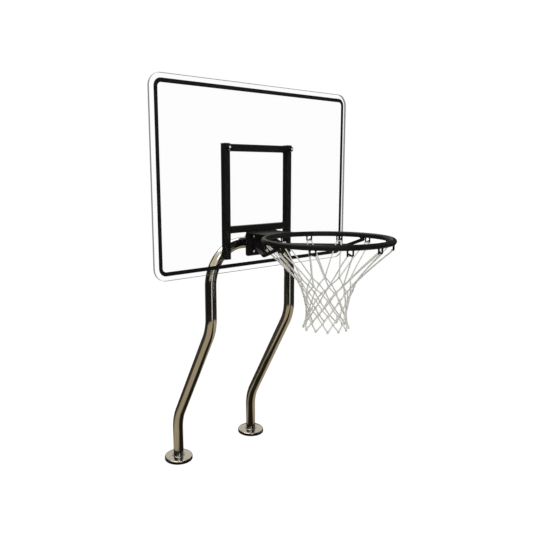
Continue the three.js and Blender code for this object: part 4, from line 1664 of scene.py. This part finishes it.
@dataclass
class Fasteners:
    """The dome bolts, washers, nuts and hexagon bolts."""

    rim: BoltSize = BoltSize(0.0095, 0.02, 0.0055, 0.016, 0.008, 0.0016)
    board: BoltSize = BoltSize(0.008, 0.018, 0.005, 0.013, 0.0065, 0.00125)
    upright: BoltSize = BoltSize(0.008, 0.013, 0.0053, 0.013, 0.0065, 0.00125)
    washer_hole: float = 0.009
    washer_arris: float = 0.0004
    head_rim: float = 0.0004
    thread_spare: float = 0.006
    thread_gap: float = 0.0002
    bore_chamfer: float = 0.0005
    core_share: float = 0.75
    crown_start: float = 0.06
    crown_rows: int = 14
    shank_end: float = 0.42
    chamfer_share: float = 1.4
    nut_chamfer_shares: tuple[float, ...] = (0.0, 0.1, 0.2, 0.32, 0.46)
    head_chamfer_shares: tuple[float, ...] = (0.0, 0.15, 0.3, 0.45)
    columns: int = 36

    def threaded_end(self, size: BoltSize, start: float, end: float) -> tuple[Array, Array]:
        """Radii and heights of a shank's threaded stretch and its chamfered end."""
        rows = max(8, int((end - start) / size.pitch * 8))
        heights = np.linspace(start, end, rows)
        radii = bolt_thread(size.shank / 2, heights, size.pitch, self.columns)
        chamfer = np.clip((end - heights) / size.pitch, 0, 1)[:, None]
        core = size.shank / 2 - self.core_share * size.pitch
        return np.minimum(radii, core + chamfer * (size.shank / 2 - core)), heights

    def dome_bolt(self, size: BoltSize, node: Extent) -> list[Patch]:
        """A bolt whose head is half an ellipsoid, seated towards +Y on its flat underside."""
        angle = np.linspace(self.crown_start, QUARTER, self.crown_rows)
        length = float(node.size[1])
        plain = np.ones((1, self.columns))
        seat = size.head_height + self.head_rim
        start = length - size.nut_height - self.thread_spare
        thread, thread_heights = self.threaded_end(size, start, length)
        radii = np.concatenate([
            size.head / 2 * np.sin(angle)[:, None] * plain,
            plain * (size.head / 2 - self.head_rim), plain * size.shank / 2, plain * size.shank / 2,
            thread,
        ])
        heights = np.concatenate([
            size.head_height * (1 - np.cos(angle)), [seat, seat, start - self.thread_gap], thread_heights,
        ])
        return turned(radii, heights, node.bench(1))

    def nut(self, size: BoltSize, node: Extent) -> list[Patch]:
        """A hexagon nut, chamfered at both faces and bored through."""
        columns = self.columns * 2
        tall = float(node.size[1])
        spare = hexagon_radii(size.nut, columns).max() - size.nut / 2
        depth = np.array(self.nut_chamfer_shares) * spare * self.chamfer_share
        heights = np.concatenate([depth, tall - depth[::-1]])
        outside = chamfered(size.nut, columns, np.minimum(heights, tall - heights))
        bore = np.full((4, columns), size.shank / 2 + SIZES.seat)
        bore[[0, -1]] += self.bore_chamfer
        bore_heights = [tall, tall - self.bore_chamfer, self.bore_chamfer, 0.0]
        return turned(np.concatenate([outside, bore]), np.concatenate([heights, bore_heights]),
                      node.bench(1), closed=True)

    def hex_bolt(self, size: BoltSize, node: Extent) -> list[Patch]:
        """A bolt with a chamfered hexagon head at its +Y end."""
        columns = self.columns * 2
        under = float(node.size[1]) - size.head_height
        spare = hexagon_radii(size.head, columns).max() - size.head / 2
        rise = np.array(self.head_chamfer_shares) * spare * self.chamfer_share
        head_heights = np.concatenate([[0.0], size.head_height - rise[::-1]])
        head = chamfered(size.head, columns, size.head_height - head_heights)
        plain = np.ones((1, columns))
        shank = plain * size.shank / 2
        radii = np.concatenate([plain * size.shank * self.shank_end, shank, shank, head])
        heights = np.concatenate([[0.0, size.pitch, under], under + head_heights])
        return turned(radii, heights, node.bench(1))

    def washer(self, node: Extent) -> list[Patch]:
        """A flat ring with softened edges."""
        outside = circle((0, 0), float(node.size[0]) / 2, steps=48)
        loops = [outside, circle((0, 0), self.washer_hole / 2)]
        return plate(loops, float(node.size[1]), node.back_bench(), self.washer_arris)

    def pair(self, maker: Maker, kind: str, mark: str, size: BoltSize, domed: bool = True) -> None:
        """A bolt and its nut."""
        bolt, nut = f"{kind}_bolt_{mark}", f"{kind}_nut_{mark}"
        if domed:
            patches = self.dome_bolt(size, Extent.of(bolt))
            maker.piece(f"dome_{bolt}", patches, Slot.FASTENER, bolt, finishes=[DOME_FINISH])
        else:
            maker.piece(f"hex_{bolt}", self.hex_bolt(size, Extent.of(bolt)), Slot.FASTENER, bolt)
        maker.piece(f"hex_{nut}", self.nut(size, Extent.of(nut)), Slot.FASTENER, nut)

    def build(self, maker: Maker) -> None:
        """Every bolt, washer and nut."""
        for number in range(1, 5):
            self.pair(maker, "rim", str(number), self.rim)
        for side in Side:
            self.pair(maker, "board", side.word, self.board)
            washer = f"board_washer_{side.word}"
            maker.piece(f"flat_{washer}", self.washer(Extent.of(washer)), Slot.FASTENER, washer, flat=True)
            self.pair(maker, "upright", side.word, self.upright, domed=False)


# The studio


@dataclass
class Viewpoint:
    """The camera at the photograph's place."""

    place: tuple[float, float, float] = (-1.54309, -2.08765, 1.33367)
    yaw: float = 0.66003
    pitch: float = math.radians(9.061)
    roll: float = math.radians(-0.631)
    lens: float = 36.7
    sensor: float = 36.0
    far_clip: float = 200.0
    shift: tuple[float, float] = (0.075, -0.00233)

    def build(self) -> None:
        """Makes the camera. Yaw turns from +Y towards +X, and pitch looks down."""
        cos, sin = math.cos(self.pitch), math.sin(self.pitch)
        forward = Vector((math.sin(self.yaw) * cos, math.cos(self.yaw) * cos, -sin))
        right = forward.cross(Vector((0, 0, 1))).normalized()
        up = right.cross(forward)
        right, up = (
            right * math.cos(self.roll) + up * math.sin(self.roll),
            up * math.cos(self.roll) - right * math.sin(self.roll),
        )
        data = bpy.data.cameras.new("photo_view")
        data.lens = self.lens
        data.sensor_width = self.sensor
        data.sensor_fit = "HORIZONTAL"
        data.shift_x, data.shift_y = self.shift
        data.clip_end = self.far_clip
        camera = placed("photo_view", data)
        camera.matrix_world = (Matrix.Translation(self.place)
                               @ Matrix((right, up, -forward)).transposed().to_4x4())
        bpy.context.scene.camera = camera


@dataclass(frozen=True)
class Lamp:
    """One soft lamp that looks at a point of the hoop."""

    name: str
    place: tuple[float, float, float]
    size: tuple[float, float]
    power: float
    mirrored: bool = True
    target: tuple[float, float, float] = (0.0, -0.4, 1.0)

    def build(self) -> None:
        """Makes the lamp."""
        data = bpy.data.lights.new(self.name, "AREA")
        data.shape = "RECTANGLE"
        data.size, data.size_y = self.size
        data.energy = self.power
        lamp = placed(self.name, data)
        lamp.location = Vector(self.place)
        lamp.rotation_euler = (Vector(self.target) - lamp.location).to_track_quat("-Z", "Y").to_euler()
        lamp.visible_glossy = self.mirrored


@dataclass(frozen=True)
class Card:
    """A board of the studio that only reflections see, so that the steel shows dark and tan bands."""

    name: str
    points: tuple[tuple[float, float, float], ...]
    faces: tuple[tuple[int, ...], ...]
    tone: Colour

    @classmethod
    def upright(cls, name: str, start: float, end: float, low: float, high: float,
                tone: Colour, reach: float = 2.2) -> "Card":
        """A curved wall between two directions, each turned from -Y towards +X in degrees.

        Args:
            name: the card's name.
            start: direction of one upright edge.
            end: direction of the other.
            low: height of its lower edge.
            high: height of its upper edge.
            tone: its colour.
            reach: how far it stands from the hoop.

        Returns:
            The card.
        """
        turns = np.radians(np.linspace(start, end, max(2, math.ceil((end - start) / CARD_STEP))))
        feet = [
            (float(reach * math.sin(turn)), float(CARDS_MIDDLE - reach * math.cos(turn))) for turn in turns
        ]
        points = tuple((x, y, z) for x, y in feet for z in (low, high))
        faces = tuple((2 * i, 2 * i + 2, 2 * i + 3, 2 * i + 1) for i in range(len(feet) - 1))
        return cls(name, points, faces, tone)

    @classmethod
    def level(cls, name: str, low: tuple[float, float], high: tuple[float, float], height: float,
              tone: Colour) -> "Card":
        """A flat card between two corners at one height."""
        (x0, y0), (x1, y1) = low, high
        points = ((x0, y0, height), (x1, y0, height), (x1, y1, height), (x0, y1, height))
        return cls(name, points, ((0, 1, 2, 3),), tone)

    @classmethod
    def foot(cls, side: Side, radius: float = 0.11, height: float = 0.0006,
             tone: Colour = (0.008, 0.008, 0.007)) -> "Card":
        """A dark round card just over the deck, under one leg: a painted contact shadow that only
        reflections see.
        """
        rim = circle((side.value * SIZES.leg_spacing / 2, 0.0), radius, steps=40)
        points = tuple((float(x), float(y), height) for x, y in rim)
        return cls(f"card_foot_{side.word}", points, (tuple(range(len(rim))),), tone)

    def light(self, nodes: NodeTable) -> Signal:
        """The card's light: its tone all over."""
        return nodes.emission(self.tone)

    def build(self) -> None:
        """Makes the card."""
        mesh = bpy.data.meshes.new(self.name)
        mesh.from_pydata(self.points, [], self.faces)
        nodes = NodeTable(bpy.data.materials.new(self.name))
        mesh.materials.append(nodes.ended(self.light(nodes)))
        card = placed(self.name, mesh)
        card.visible_camera = False
        card.visible_diffuse = False
        card.visible_transmission = False
        card.visible_shadow = False


@dataclass(frozen=True)
class DeckCard(Card):
    """The deck as the steel shows it: tan, dark between the legs and brown behind them."""

    between: Colour = (0.016, 0.015, 0.012)
    behind: Colour = (0.05, 0.04, 0.025)
    half_width: float = 0.24
    fade: float = 0.1
    behind_line: float = 0.12
    behind_fade: float = 0.25

    def light(self, nodes: NodeTable) -> Signal:
        """The deck's light.

        The dark share is the product of a ramp that falls past the half width sideways and one
        that falls behind the feet. The brown share rises behind the line.
        """
        across, back, _ = nodes.split(nodes.place())
        within = ((self.half_width + self.fade - across.size()) * (1 / self.fade)).clipped()
        before = ((self.fade - back) * (1 / self.fade)).clipped()
        past = ((back - self.behind_line) * (1 / self.behind_fade)).clipped()
        open_deck = nodes.blend(past, self.tone, self.behind)
        return nodes.emission(nodes.blend(within * before, open_deck, self.between))


INKY: Colour = (0.02, 0.02, 0.015)
DIM: Colour = (0.03, 0.03, 0.024)
DARKEST: Colour = (0.012, 0.012, 0.01)
TAN: Colour = (0.78, 0.72, 0.52)


@dataclass
class Studio:
    """A white surround, a pale floor, soft lamps and dark cards for the metal to show."""

    floor_reach: float = 30.0
    floor_colour: Colour = (0.9, 0.9, 0.9)
    floor_shadow_share: float = 0.22
    shadow_ahead: float = 0.2
    floor_near: float = 0.5
    floor_fade: float = 1.8
    fill: float = 0.55
    lamps: tuple[Lamp, ...] = (
        Lamp("key", (-2.6, -3.4, 3.6), (2.4, 2.4), 190.0, mirrored=False),
        Lamp("side", (3.2, -1.6, 2.6), (2.0, 2.4), 70.0),
        Lamp("top", (0.3, 0.9, 4.2), (3.0, 2.4), 90.0),
    )
    cards: tuple[Card, ...] = (
        Card.upright("card_front_right", -13.0, 80.0, 0.0, 4.4, INKY),
        Card.upright("card_right", 80.0, 118.0, 0.0, 4.4, DIM),
        Card.upright("card_back_low", 118.0, 176.0, 0.0, 0.5, INKY),
        Card.upright("card_back_band", 118.0, 176.0, 0.5, 3.4, (0.7, 0.66, 0.58)),
        Card.upright("card_back_high", 118.0, 176.0, 3.4, 4.4, DIM),
        Card.upright("card_back_left", 176.0, 222.0, 0.0, 2.7, (0.06, 0.056, 0.045)),
        Card.upright("card_left", -138.0, -72.0, 0.0, 2.0, DARKEST),
        Card.upright("card_left_high", -138.0, -72.0, 2.0, 4.4, TAN),
        Card.upright("card_front_left", -72.0, -27.0, 0.0, 0.95, DARKEST),
        Card.upright("card_front_band", -72.0, -27.0, 0.95, 1.8, (0.42, 0.39, 0.29)),
        Card.upright("card_front_high", -72.0, -27.0, 1.8, 4.4, TAN),
        Card.upright("card_softbox", -36.0, -24.0, 2.5, 3.1, (6.0, 5.9, 5.6), 2.1),
        Card.level("card_over", (-0.25, -2.6), (2.4, 2.2), 4.4, DIM),
        DeckCard.level("card_deck", (-2.2, -2.5), (2.2, 1.9), 0.0003, (0.45, 0.38, 0.26)),
        *(Card.foot(side) for side in Side),
    )

    def build_world(self) -> None:
        """White where the camera, gloss and glass look, and a softer light on the hoop."""
        nodes = NodeTable(bpy.data.worlds.new("surround"))
        strength = nodes.add("ShaderNodeMapRange", None, {
            "Value": nodes.seen(), "To Min": self.fill, "To Max": 1.0,
        })
        background = nodes.add("ShaderNodeBackground", None, {"Color": (1, 1, 1, 1), "Strength": strength})
        bpy.context.scene.world = nodes.ended(background)

    def build_floor(self) -> None:
        """The deck's place: a pale plane that keeps the hoop's shadow."""
        reach = self.floor_reach
        mesh = bpy.data.meshes.new("floor")
        corners = [(-reach, -reach, 0), (reach, -reach, 0), (reach, reach, 0), (-reach, reach, 0)]
        mesh.from_pydata(corners, [], [(0, 1, 2, 3)])
        nodes = NodeTable(bpy.data.materials.new("pale_floor"))
        matt = nodes.add("ShaderNodeBsdfDiffuse", None, {"Color": rgba(self.floor_colour)})
        x, y, _ = nodes.split(nodes.place())
        away = (x ** 2 + (y + self.shadow_ahead) ** 2) ** 0.5
        near = (1 - (away - self.floor_near) * (1 / self.floor_fade)).clipped()
        share = nodes.seen() * (1 - near * self.floor_shadow_share)
        glow = nodes.emission((1, 1, 1))
        mixed = nodes.add("ShaderNodeMixShader", None, {0: share, 1: matt, 2: glow})
        mesh.materials.append(nodes.ended(mixed))
        placed("floor", mesh)

    def build(self) -> None:
        """The whole studio."""
        self.build_world()
        self.build_floor()
        for fitting in (*self.lamps, *self.cards):
            fitting.build()
        bpy.context.scene.view_settings.view_transform = "Standard"


def main() -> None:
    """Builds the view, the studio and every sub-assembly in order."""
    logging.basicConfig(level=logging.INFO, format="%(message)s")
    Viewpoint().build()
    Studio().build()
    maker = Maker()
    for assembly in (Stand(), Board(), Bracket(), Rim(), Hooks(), Net(), Clamp(), Fasteners()):
        assembly.build(maker)
    log.info("%d pieces", maker.made)


if __name__ == "__main__":
    main()
